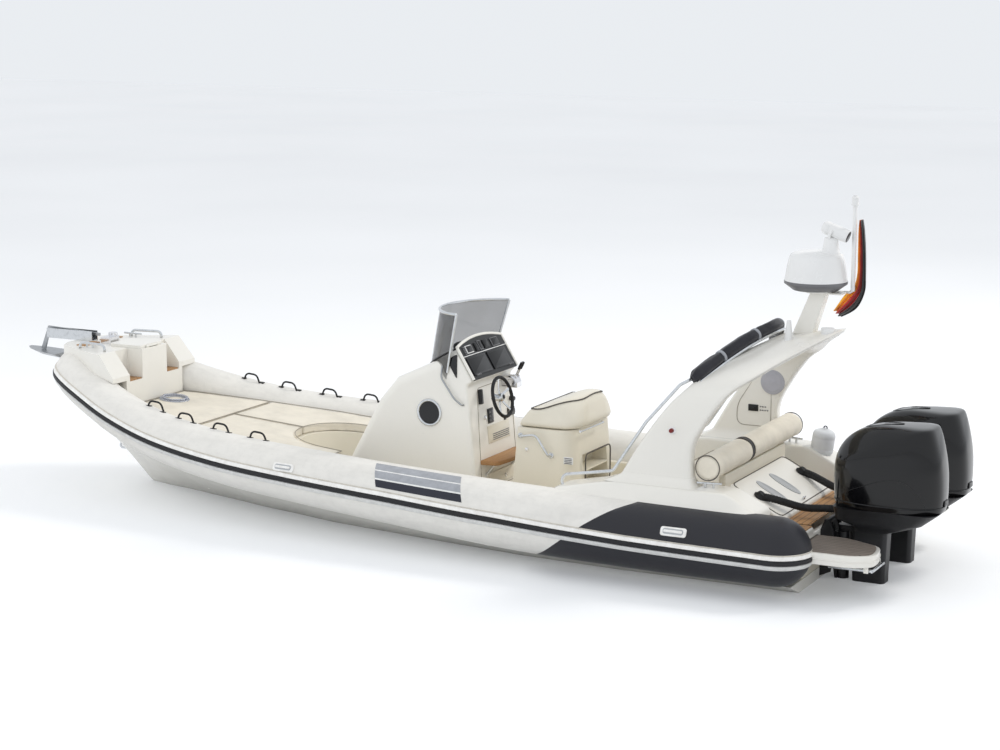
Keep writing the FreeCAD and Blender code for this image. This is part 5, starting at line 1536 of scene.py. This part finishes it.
def make_piping(node, radius=0.0035):
    cords = []
    for points, closed in upper_edges(nodes[node].data):
        length = sum((b - a).length for a, b in zip(points, points[1:]))
        if length < 0.25:
            continue
        path = even_path(points + points[:1] if closed else points, 0.05)
        path = [p + UP * 0.003 for p in path]
        cords.append(tube_on_path("cord", path[:-1] if closed else path, radius, piping, 6, loop=closed))
    if cords:
        joined(f"{node}_piping", cords)


def make_cushions():
    for node in ("cushion_port", "cushion_starboard", "cushion_fore"):
        make_piping(node)
        stuffed(node, 0.012)
    make_piping("bench_cushion", 0.004)
    stuffed("bench_cushion", 0.010)


# Backrest roll: its axis and radius, and how its ends close: distance from the end, radius
ROLL_X = 0.898
ROLL_Z = 0.890
ROLL_RADIUS = 0.101
ROLL_END = [(0.0, 0.0), (0.001, 0.070), (0.008, 0.092), (0.025, 0.0995)]
ROLL_POINTS = 40
FOLD_DEPTH = 0.0045
FOLD_AROUND = 1.3               # how closely the folds follow one another, round the roll and along it
FOLD_ALONG = 7
SAG_DEPTH = 0.004
ROLL_TIGHT = 0.003              # the cloth lies this far inside the roll's radius


def roll_ring(y, radius):
    return circle(Vector((ROLL_X, y, ROLL_Z)), AHEAD, UP, radius, ROLL_POINTS)


def stuffed_roll(first_y, last_y):
    """One length of the backrest roll, with puckered ends."""
    steps = round((last_y - first_y) / ROLL_END[-1][0])
    profile = [(radius, first_y + back) for back, radius in ROLL_END]
    profile += [(ROLL_RADIUS, first_y + (last_y - first_y) * step / steps) for step in range(1, steps)]
    profile += [(radius, last_y - back) for back, radius in reversed(ROLL_END)]
    rings = []
    for radius, y in profile:
        ring = []
        for k in range(ROLL_POINTS):
            turn = 2 * math.pi * k / ROLL_POINTS
            seed = Vector((math.cos(turn) * FOLD_AROUND, y * FOLD_ALONG, math.sin(turn) * FOLD_AROUND))
            fold = noise.noise(seed) * FOLD_DEPTH
            sag = SAG_DEPTH * math.sin(turn * 2 + 1.0)
            size = max(0.0, radius + (fold + sag - ROLL_TIGHT) * (radius / ROLL_RADIUS))
            ring.append(Vector((ROLL_X + size * math.cos(turn), y, ROLL_Z + size * math.sin(turn))))
        rings.append(ring)
    return sweep("roll", rings, cushion_cream)


def make_backrest():
    lengths = [stuffed_roll(0.212, 0.968), stuffed_roll(-0.968, 0.186)]
    roll = joined("bench_roll", lengths, replaces="bench_backrest")
    rings = [tube_on_path("cord", roll_ring(y, 0.0975), 0.0042, piping_dark, 6, loop=True)
             for y in (0.960, -0.960, 0.224, 0.176)]
    joined("bench_roll_piping", rings)
    strap = [roll_ring(y, 0.096) for y in (0.182, 0.216)]
    sweep("bench_roll_strap", strap, black_canvas, slot="canvas_black")


# Sun roof: where its roll lies along the arch, its radius, and its straps
ROLL_LINE = [(1.050, 0.925, 1.562), (0.930, 0.600, 1.704), (0.800, 0.300, 1.822), (0.700, 0.0, 1.882),
             (0.800, -0.300, 1.822), (0.930, -0.600, 1.704), (1.050, -0.925, 1.562)]
ROOF_RADIUS = 0.050
ROOF_POINTS = 28
ROOF_MOST = 0.058               # no fold stands out farther
ROOF_FOLD = 0.008
STRAP_PITCH = 0.36
STRAP_REACH = 0.03              # a strap pinches the roll about this far along it
STRAP_PINCH = 0.10
# Distance from a strap's middle, and how far it stands off the roll there
STRAP_SECTION = [(-0.012, 0.0), (-0.011, 0.003), (0.011, 0.003), (0.012, 0.0)]


def from_strap(y):
    """Distance of a place on the roll from the nearest strap, along y."""
    return abs((y + 10.0) % STRAP_PITCH - STRAP_PITCH / 2)


def make_sun_roof():
    """Sun roof rolled up in its black cover, strapped along the arch."""
    line = even_path(rounded_route([Vector(p) for p in ROLL_LINE], 0.26, 8), 0.022)
    rings = []
    bands = []
    for i, at in enumerate(line):
        way = way_at(line, i)
        across, above = across_and_above(way)
        from_end = min(i, len(line) - 1 - i)
        size = ROOF_RADIUS * min(1.0, 0.45 + 0.22 * from_end)
        size *= 1 - STRAP_PINCH * math.exp(-(from_strap(at.y) / STRAP_REACH) ** 2)
        ring = []
        for k in range(ROOF_POINTS):
            turn = 2 * math.pi * k / ROOF_POINTS
            seed = Vector((math.cos(turn) * 1.6, at.y * 9, math.sin(turn) * 1.6 + at.x * 3))
            fold = noise.noise(seed) * ROOF_FOLD
            reach = size * (1.02 + 0.05 * math.sin(turn * 5 + at.y * 2)) + fold
            ring.append(at + (across * math.cos(turn) + above * math.sin(turn)) * min(reach, ROOF_MOST))
        rings.append(ring)
        if from_end and from_strap(at.y) <= 0.010:
            bands.append([circle(at + way * offset, across, above, ROOF_RADIUS + lift, ROOF_POINTS)
                          for offset, lift in STRAP_SECTION])
    roll = sweep("sun_roof_roll", rings, black_canvas, replaces="bimini", slot="canvas_black")
    bow = [p + Vector((-0.052, 0, -0.030)) for p in line[1:-1]]
    tube_on_path("sun_roof_bow", bow, 0.0125, polished, 10, slot="stainless")
    skirt = [p + Vector((-0.012, 0, -0.034)) for p in line[1:-1]]
    tube_on_path("sun_roof_skirt", skirt, 0.026, black_canvas, slot="canvas_black")
    straps = [sweep("strap", band, pad_grey) for band in bands]
    joined("sun_roof_straps", straps)


# Side mouldings: x of their ends, height of the top edge along x, and the section's inner and outer sides
MOULDING_AFT = 0.420
MOULDING_FORE = 2.140
MOULDING_TOP = [(0.420, 0.600), (0.670, 0.725), (0.700, 0.735), (0.730, 0.738), (1.600, 0.738),
                (1.700, 0.730), (2.140, 0.640)]
MOULDING_LOW = 0.420
MOULDING_INNER = 0.816
MOULDING_EDGE = 1.105
MOULDING_OUTER = 1.188
MOULDING_SHOULDER = 0.605
MOULDING_STEPS = 60
END_ROUND = 0.030               # radius of the rounded ends


def make_side_mouldings():
    """Gelcoat coamings on the tubes, which carry the arch: crowned, and round at their ends."""
    shells = []
    for side, name in SIDES:
        rings = []
        for step in range(MOULDING_STEPS + 1):
            x = MOULDING_AFT + (MOULDING_FORE - MOULDING_AFT) * step / MOULDING_STEPS
            top = between(MOULDING_TOP, x)
            shoulder = min(top - 0.015, MOULDING_SHOULDER)
            section = [(MOULDING_INNER, MOULDING_LOW, 0.005), (MOULDING_INNER, top, 0.030),
                       (MOULDING_EDGE, top, 0.022), (MOULDING_OUTER, shoulder, 0.018),
                       (MOULDING_OUTER, MOULDING_LOW, 0.005)]
            outline = rounded_outline(section, 0.03, 6)
            from_end = min(x - MOULDING_AFT, MOULDING_FORE - x)
            if from_end < END_ROUND:
                outline = inset(outline, END_ROUND - math.sqrt(END_ROUND ** 2 - (END_ROUND - from_end) ** 2))
            rings.append([Vector((x, p.x * side, p.y)) for p in outline])
        shells.append(sweep(f"moulding_{name}", rings, hull_white))
    joined("side_coamings", shells, replaces="side_mouldings")


# Portholes, mast gear and fender are turned from (radius, height) points
PORTHOLE_RING = [(0.093, 0.0005), (0.096, 0.0095), (0.101, 0.0130), (0.109, 0.0130), (0.1145, 0.0095),
                 (0.1165, 0.0005)]
PORTHOLE_PANE = [(0.0, 0.0060), (0.055, 0.0058), (0.080, 0.0052), (0.094, 0.0045), (0.095, 0.0006),
                 (0.0, 0.0006)]
PORTHOLE_SCREWS = 6
RADOME_PLACE = (0.398, 0.0, 2.168)
RADOME = [(0.0, 0.0), (0.150, 0.0), (0.176, 0.008), (0.205, 0.030), (0.2445, 0.060), (0.2450, 0.072),
          (0.2445, 0.088), (0.241, 0.100), (0.236, 0.140), (0.228, 0.190), (0.219, 0.235), (0.212, 0.262),
          (0.201, 0.284), (0.180, 0.298), (0.140, 0.307), (0.080, 0.310), (0.0, 0.311)]
RADOME_BAND = [(0.180, 0.0085), (0.208, 0.0300), (0.2465, 0.058), (0.2475, 0.066), (0.2475, 0.076),
               (0.2452, 0.080)]
LIGHT_FOOT = [(0.0, 0.0), (0.074, 0.0), (0.076, 0.010), (0.072, 0.018), (0.062, 0.060), (0.054, 0.110),
              (0.052, 0.128), (0.046, 0.132), (0.0, 0.132)]
LIGHT_BARREL = [(0.0, 0.0), (0.034, 0.001), (0.046, 0.010), (0.052, 0.030), (0.0525, 0.055), (0.050, 0.058),
                (0.050, 0.062), (0.0525, 0.065), (0.0525, 0.180), (0.050, 0.196), (0.049, 0.218),
                (0.0, 0.218)]
LIGHT_START = Vector((0.352, 0, 2.674))
LIGHT_WAY = Vector((-1, 0, -0.36)).normalized()
LIGHT_YOKE = [(0.285, 0.050, 2.588), (0.280, 0.060, 2.620), (0.262, 0.056, 2.650)]
LANTERN = [(0.0, 0.0), (0.030, 0.0), (0.031, 0.008), (0.026, 0.014), (0.026, 0.050), (0.030, 0.054),
           (0.028, 0.064), (0.014, 0.070), (0.0, 0.070)]
FENDER = [(0.0, 0.098), (0.060, 0.100), (0.082, 0.112), (0.0945, 0.135), (0.0952, 0.160), (0.0935, 0.163),
          (0.0952, 0.168), (0.0952, 0.250), (0.0935, 0.254), (0.0952, 0.258), (0.094, 0.280), (0.084, 0.302),
          (0.060, 0.317), (0.030, 0.325), (0.026, 0.332), (0.0, 0.333)]
FENDER_FOOT = Vector((0.640, -0.930, 0.560))
FENDER_WAY = Vector((-0.15, 0, 1)).normalized()


def make_portholes():
    """Round ports in the console's sides: dark glass in a pale metal ring."""
    rims = []
    glasses = []
    for side, _ in SIDES:
        centre = Vector((3.590, 0.4165 * side, 0.985))
        out = PORT * side
        rims.append(turned("rim", PORTHOLE_RING, polished, centre, out, 56, caps=False))
        glasses.append(turned("pane", PORTHOLE_PANE, dark_glass, centre, out))
        for number in range(PORTHOLE_SCREWS):
            turn = 2 * math.pi * (number + 0.5) / PORTHOLE_SCREWS
            at = centre + out * 0.012 + (AHEAD * math.cos(turn) + UP * math.sin(turn)) * 0.105
            rims.append(knob("screw", at, out, 0.0042, 0.0018, chromed, around=12))
    joined("porthole_rims", rims, replaces="portholes")
    joined("porthole_glass", glasses, replaces="portholes")


def make_mast_gear():
    """Radome, searchlight and masthead lantern."""
    turned("radome_shell", RADOME, white_plastic, RADOME_PLACE, around=64, replaces="radome",
           slot="white_plastic")
    turned("radome_band", RADOME_BAND, grey_plastic, RADOME_PLACE, around=64, slot="grey_plastic", caps=False)
    parts = [turned("foot", LIGHT_FOOT, white_plastic, (0.285, 0, 2.458), around=40),
             turned("barrel", LIGHT_BARREL, white_plastic, LIGHT_START, LIGHT_WAY, 40)]
    for side, _ in SIDES:
        arm = [Vector((x, y * side, z)) for x, y, z in LIGHT_YOKE]
        parts.append(tube_on_path("arm", arm, 0.012, white_plastic))
    joined("searchlight_shell", parts, replaces="searchlight")
    knob("searchlight_lens", LIGHT_START + LIGHT_WAY * 0.2175, LIGHT_WAY, 0.043, 0.004, dark_glass,
         slot="dark_glass")
    turned("masthead_lantern", LANTERN, white_plastic, (0.118, -0.060, 2.842), around=32,
           slot="white_plastic")


def make_fender():
    body = turned("body", FENDER, fender_white, FENDER_FOOT, FENDER_WAY, 44)
    ring = circle(FENDER_FOOT + FENDER_WAY * 0.336, AHEAD, UP, 0.014, 16)
    eye = tube_on_path("eye", ring, 0.005, pad_navy, 8, loop=True)
    joined("fender_body", [body, eye], replaces="fender")


FLAG_Y = -0.094
FLAG_FOLDS = 3
FLAG_COLUMNS = 72
FOLD_WANDER = 0.6               # how far the folds wander sideways going down, as an angle
FOLD_RATE = 0.09
# Down the hanging flag: x, height, width across the gathered cloth, depth of its folds
FLAG_ROWS = [
    (0.076, 2.728, 0.016, 0.0313),
    (0.070, 2.640, 0.040, 0.0307),
    (0.062, 2.480, 0.056, 0.0300),
    (0.060, 2.300, 0.064, 0.0293),
    (0.080, 2.180, 0.100, 0.0275),
    (0.150, 2.080, 0.140, 0.0258),
    (0.250, 1.985, 0.080, 0.0285),
]
FLAG_BANDS = (flag_black, flag_red, flag_gold)


def make_flag():
    """Flag hanging from its staff by the top corner, gathered in folds."""
    rows = smooth_rows(FLAG_ROWS, 9)
    middle = [Vector((x, FLAG_Y, z)) for x, z, _, _ in rows]
    points = []
    faces = []
    for i, (_, _, width, depth) in enumerate(rows):
        way = way_at(middle, i)
        across = Vector((-way.z, 0, way.x))
        for k in range(FLAG_COLUMNS + 1):
            t = k / FLAG_COLUMNS
            wander = FOLD_WANDER * math.sin(i * FOLD_RATE)
            fold = math.sin(2 * math.pi * FLAG_FOLDS * t + wander) * depth
            points.append(middle[i] + across * (0.5 - t) * width + PORT * fold)
    after = FLAG_COLUMNS + 1
    for i in range(len(rows) - 1):
        for a in range(i * after, i * after + FLAG_COLUMNS):
            faces.append((a, a + 1, a + after + 1, a + after))
    flag = new_piece("flag_cloth_sheet", points, faces, FLAG_BANDS[0], replaces="flag", slot="flag_cloth")
    for material in FLAG_BANDS[1:]:
        flag.data.materials.append(material)
    for number, face in enumerate(flag.data.polygons):
        face.material_index = 2 - 3 * (number % FLAG_COLUMNS) // FLAG_COLUMNS


# Rope hank on the fore cushion
COIL_X = 6.470
COIL_Y = -0.060
COIL_Z = 0.7705
COIL_SLOPE = 0.083
COIL_TURNS = 5.0
COIL_INWARD = 3.0               # turns that lie on the cushion; the others lie on top of them
COIL_OUTSIDE = 0.137
COIL_INSIDE = 0.095
COIL_STEP = 0.014               # how far a turn draws in
COIL_CLIMB = 0.25               # part of a turn in which the rope climbs onto the turns below
COIL_LIFT = 0.0138
ROPE_THICK = 0.012
ROPE_STEPS = 90


def coil_point(turns):
    """Place on the rope: three turns inward on the cushion, then out again on top of them."""
    radius = COIL_OUTSIDE - COIL_STEP * turns
    lift = 0.0
    if turns > COIL_INWARD:
        rise = min(1.0, (turns - COIL_INWARD) / COIL_CLIMB)
        radius = COIL_INSIDE + 0.004 * rise + COIL_STEP * max(0.0, turns - COIL_INWARD - COIL_CLIMB)
        lift = COIL_LIFT * rise
    x = radius * math.cos(2 * math.pi * turns)
    y = radius * math.sin(2 * math.pi * turns)
    return Vector((COIL_X + x, COIL_Y + y, COIL_Z + x * COIL_SLOPE + lift))


def make_rope():
    data = bpy.data.curves.new("bow_rope", "CURVE")
    data.dimensions = "3D"
    data.bevel_depth = ROPE_THICK / 2
    data.bevel_resolution = 3
    data.use_fill_caps = True
    spline = data.splines.new("NURBS")
    spline.points.add(ROPE_STEPS)
    for k, point in enumerate(spline.points):
        point.co = tuple(coil_point(COIL_TURNS * k / ROPE_STEPS)) + (1.0,)
    spline.order_u = 3
    spline.use_endpoint_u = True
    rope = in_scene("bow_rope", data)
    data.materials.append(rope_white)
    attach(rope, BOAT)
    mark(rope, "rope_coil")


# Bathing platforms: x, y and corner radius of the outline, and height and inset of the tread's rings
PLATFORM = [(0.149, 0.602, 0.02), (0.149, 1.148, 0.03), (-0.300, 1.148, 0.14), (-0.455, 1.060, 0.09),
            (-0.455, 0.900, 0.07), (-0.412, 0.742, 0.06), (-0.130, 0.602, 0.09)]
TREAD_RINGS = [(0.378, 0.030), (0.386, 0.030), (0.387, 0.036)]
PLATFORM_ARM_Y = (0.640, 0.700)
# The stern locker's lid slopes; its leaf panels, latch and joint line lie on it
LOCKER_OUT = Vector((-0.230, 0, 0.449)).normalized()
LOCKER_UP = PORT.cross(LOCKER_OUT)
LOCKER_LINE = [Vector((0.424, 0.590, 0.4845)), Vector((0.835, 0.590, 0.695)), Vector((0.835, -0.590, 0.695)),
               Vector((0.424, -0.590, 0.4845))]
LATCH_PLACE = Vector((0.452, 0.0, 0.4985))
LATCH_HALF = 0.035
LEAF_RINGS = [(1.0, -0.001), (0.99, 0.0045), (0.90, 0.0050), (0.84, 0.0008), (0.02, 0.0002)]
LEAF_HALF = 0.058
LEAF_REACH = 0.150
LEAF_POINTS = 48
STERN_PLANKS = [(0.196, -0.585), (0.404, -0.585), (0.404, 0.585), (0.196, 0.585)]


def make_platforms():
    parts = []
    for side, name in SIDES:
        outline = [(x, y * side, radius) for x, y, radius in PLATFORM]
        edges = rounded_outline(outline, 0.02)
        parts.append(soft_prism("body", outline, "XY", 0.291, 0.379, 0.012, hull_white))
        step = [[Vector((p.x, p.y, z)) for p in inset(edges, inward)] for z, inward in TREAD_RINGS]
        sweep(f"swim_tread_{name}", step, swim_deck, slot="teak")
        lip = [Vector((p.x, p.y, 0.335)) for p in edges]
        parts.append(tube_on_path("lip", lip, 0.006, hull_white, 8, loop=True))
        low, high = sorted(y * side for y in PLATFORM_ARM_Y)
        arm = [(0.088, low), (0.150, low), (0.150, high), (0.088, high)]
        parts.append(soft_prism("arm", arm, "XY", 0.322, 0.366, 0.004, hull_white, radius=0.004))
    for y in (1.052, 0.748):
        parts.append(slab("ear", (-0.400, y, 0.270), PORT, 0.036, 0.050, 0.008, 0.003, hull_white))
    joined("swim_platforms", parts, replaces="bathing_platforms")


def make_locker():
    leaves = []
    for side, _ in SIDES:
        centre = Vector((0.630, 0.090 + 0.150 * side, 0.5885))
        rings = []
        for grow, depth in LEAF_RINGS:
            ring = []
            for k in range(LEAF_POINTS):
                turn = 2 * math.pi * k / LEAF_POINTS
                aside = PORT * math.sin(turn) * LEAF_HALF * grow
                along = LOCKER_UP * blunted(math.cos(turn), 0.85) * LEAF_REACH * grow
                ring.append(centre + aside + along + LOCKER_OUT * depth)
            rings.append(ring)
        # Painted shade: the leaf recesses are grey for the shade inside them.
        leaves.append(sweep("leaf", rings, shaded_grey, caps=False))
    joined("locker_leaf_panels", leaves)
    bar = [LATCH_PLACE + PORT * y + LOCKER_OUT * 0.016 for y in (-LATCH_HALF, LATCH_HALF)]
    parts = [tube_on_path("bar", bar, 0.005, polished, 10),
             knob("post", LATCH_PLACE, LOCKER_OUT, 0.012, 0.018, polished, around=16)]
    joined("locker_latch", parts)
    soft_prism("stern_planks", STERN_PLANKS, "XY", 0.4390, 0.4475, 0.002, teak_cross, radius=0.02,
               slot="teak")
    light = [knob("rim", (0.30, -0.70, 0.441), UP, 0.030, 0.008, polished),
             knob("lens", (0.30, -0.70, 0.448), UP, 0.021, 0.006, white_plastic)]
    joined("stern_deck_light", light)
    path = [p + LOCKER_OUT * 0.0006 for p in rounded_loop(LOCKER_LINE, 0.06)]
    tube_on_path("locker_lid_line", path, 0.004, piping_dark, 6, loop=True, slot="grey_plastic")


# Rigging hoses: their port route, and the gaiter and boot that they run between
HOSE_ROUTE = [(0.648, 0.492, 0.560), (0.606, 0.486, 0.600), (0.520, 0.462, 0.582), (0.310, 0.385, 0.519),
              (0.150, 0.355, 0.530), (0.072, 0.350, 0.532)]
HOSE_POINTS = 20
HOSE_RADIUS = 0.0305
HOSE_GROOVE = 0.0275            # radius of every third ring
GAITER = [(0.0, -0.004), (0.052, -0.004), (0.054, 0.004), (0.044, 0.012), (0.038, 0.030), (0.033, 0.040),
          (0.0, 0.040)]
BOOT = [(0.0, 0.000), (0.060, 0.000), (0.072, 0.006), (0.077, 0.018), (0.0785, 0.036), (0.077, 0.054),
        (0.072, 0.066), (0.060, 0.072), (0.0, 0.072)]


def make_hoses():
    """Ribbed black hoses for the rigging, each out of a gaiter on the locker into a boot on the engine."""
    for side, name in SIDES:
        route = [Vector((x, y * side, z)) for x, y, z in HOSE_ROUTE]
        path = even_path(rounded_route(route, 0.10, 10), 0.0055)
        rings = []
        for i, at in enumerate(path):
            across, above = across_and_above(way_at(path, i))
            rings.append(circle(at, across, above, HOSE_RADIUS if i % 3 else HOSE_GROOVE, HOSE_POINTS))
        hose = sweep("hose", rings, black_rubber)
        gaiter = turned("gaiter", GAITER, black_rubber, (0.640, 0.491 * side, 0.5935), (-0.62, 0, 0.78), 32)
        whole = joined(f"rigging_hose_{name}", [hose, gaiter], replaces="conduits")
        whole.parent = None
        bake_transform(whole)
        turned(f"hose_boot_{name}", BOOT, black_rubber, (0, ENGINE_Y * side, 0.496), body=f"engine_{name}",
               slot="engine_black")


LOOP_PLACES = (4.935, 5.340, 5.740, 6.100)
LOOP_LEAN = 98.6                # angle round the tube of a loop's feet, in degrees
# Along a grab loop: x from its middle, and height over its foot
LOOP_ROUTE = [(-0.085, -0.030), (-0.056, 0.046), (0.056, 0.055), (0.085, -0.020)]
HANDLE_PLACES = (4.480, 1.000)
HANDLE_ANGLE = 26
# Parts of a carry handle: how far its back stands proud, width, height, depth, edge, material, corner radius
HANDLE_PARTS = [
    (0.0, 0.210, 0.072, 0.016, 0.008, strake_white, 0.022),
    # Painted shade: a grey layer behind the grip for the shade under it.
    (0.0155, 0.165, 0.044, 0.002, 0.001, shaded_grey, 0.018),
    (0.016, 0.150, 0.020, 0.012, 0.006, strake_white, 0.009),
]


def on_tube(x, angle, lift, side):
    """Place on a side's tube, and the way that its skin faces there."""
    row = row_at(x)
    place = on_side(tube_point(row, angle, lift), side)
    facing = on_side(tube_point(row, angle, 1.0) - tube_point(row, angle, 0.0), side)
    return place, facing.normalized()


def make_tube_fittings():
    """Webbing grab loops along the tubes' tops and moulded carry handles on their flanks."""
    for side, name in SIDES:
        loops = []
        for x in LOOP_PLACES:
            middle_y, middle_z, radius = (between([(r[0], r[i]) for r in TUBE_ROWS], x) for i in (1, 2, 3))
            y = (middle_y - radius * 0.15) * side
            z = middle_z + radius * 0.9887 + 0.004
            route = [Vector((x + dx, y, z + dz)) for dx, dz in LOOP_ROUTE]
            loops.append(tube_on_path("loop", rounded_route(route, 0.075, 9), 0.0085, black_rubber, 10))
            for dx in (-0.086, 0.086):
                foot, facing = on_tube(x + dx, LOOP_LEAN, -0.002, side)
                loops.append(slab("foot", foot, facing, 0.050, 0.034, 0.006, 0.003, black_rubber, up=PORT))
        joined(f"webbing_loops_{name}", loops, replaces="grab_loops")
        handles = []
        for x in HANDLE_PLACES:
            base, facing = on_tube(x, HANDLE_ANGLE, -0.004, side)
            for proud, *size_and_look in HANDLE_PARTS:
                handles.append(slab("part", base + facing * proud, facing, *size_and_look))
        joined(f"tube_handles_{name}", handles, replaces="carry_handles")


# Studio: floor, sky and lamps
FLOOR_HALF = 60.0
FLOOR_GLOW = 0.12               # a little light of its own, so that it is pale as far as the horizon
SKY = (0.95, 0.97, 1.0, 1)
SKY_STRENGTH = 0.84
SEEN_SKY = (0.885, 0.915, 0.95, 1)      # what the camera, glass and glossy surfaces see
SEEN_SKY_STRENGTH = 0.93
# Lamps: name, place, what it shines at, watts, size, colour
LAMPS = [
    ("key", (-6, -9, 12), (2.5, 0, 0.4), 1050, 4.0, (1.0, 0.97, 0.93)),
    ("fill", (4, 14, 9), (3.5, 0, 0.4), 260, 8.0, (0.90, 0.94, 1.0)),
    ("bow", (14, 2, 8), (5.0, 0, 0.6), 160, 5.0, (1.0, 0.98, 0.95)),
]


def make_floor():
    mesh = bpy.data.meshes.new("floor")
    corners = [(x * FLOOR_HALF, y * FLOOR_HALF, 0) for x, y in ((-1, -1), (1, -1), (1, 1), (-1, 1))]
    mesh.from_pydata(corners, [], [(0, 1, 2, 3)])
    n = Nodes("floor_pale")
    pale = n.ramp(n.noise(0.15, 2.0), (0.3, (0.93, 0.935, 0.94)), (0.7, (0.95, 0.955, 0.96)))
    seen = n.add("ShaderNodeLightPath").outputs["Is Camera Ray"]
    mesh.materials.append(n.finish(Base_Color=pale, Roughness=0.9, Emission_Color=(0.96, 0.98, 1.0, 1),
                                   Emission_Strength=n.math("MULTIPLY", seen, FLOOR_GLOW)))
    in_scene("floor", mesh)


def make_sky():
    world = bpy.data.worlds.new("studio")
    bpy.context.scene.world = world
    world.use_nodes = True
    tree = world.node_tree
    sky = tree.nodes["Background"]
    seen_sky = tree.nodes.new("ShaderNodeBackground")
    for node, colour, strength in ((sky, SKY, SKY_STRENGTH), (seen_sky, SEEN_SKY, SEEN_SKY_STRENGTH)):
        node.inputs["Color"].default_value = colour
        node.inputs["Strength"].default_value = strength
    path = tree.nodes.new("ShaderNodeLightPath")
    seen = path.outputs["Is Camera Ray"]
    for ray in ("Is Transmission Ray", "Is Glossy Ray"):
        either = tree.nodes.new("ShaderNodeMath")
        either.operation = "MAXIMUM"
        tree.links.new(seen, either.inputs[0])
        tree.links.new(path.outputs[ray], either.inputs[1])
        seen = either.outputs[0]
    mix = tree.nodes.new("ShaderNodeMixShader")
    tree.links.new(seen, mix.inputs["Fac"])
    tree.links.new(sky.outputs[0], mix.inputs[1])
    tree.links.new(seen_sky.outputs[0], mix.inputs[2])
    tree.links.new(mix.outputs[0], tree.nodes["World Output"].inputs["Surface"])


def make_lamps():
    for name, place, aim, power, size, colour in LAMPS:
        data = bpy.data.lights.new(name, "AREA")
        data.energy = power
        data.size = size
        data.color = colour
        light = in_scene(name, data)
        light.location = place
        light.visible_glossy = False
        light.rotation_mode = "QUATERNION"
        light.rotation_quaternion = (Vector(aim) - Vector(place)).to_track_quat("-Z", "Y")


bpy.context.scene.view_settings.view_transform = "Standard"
make_camera()
make_floor()
make_sky()
make_lamps()
make_tubes()
make_seams()
make_strakes()
make_tube_pads()
make_arch()
make_arch_gear()
make_cowls()
make_helm_seat()
make_panel()
make_wheel()
make_controls()
make_console_fittings()
make_windscreen()
make_cushions()
make_backrest()
make_sun_roof()
make_mast_gear()
make_flag()
make_rope()
make_platforms()
make_locker()
make_hoses()
make_tube_fittings()
make_fender()
make_side_mouldings()
make_portholes()
for node, material, edge in DRESSED:
    dress(node, material, edge)
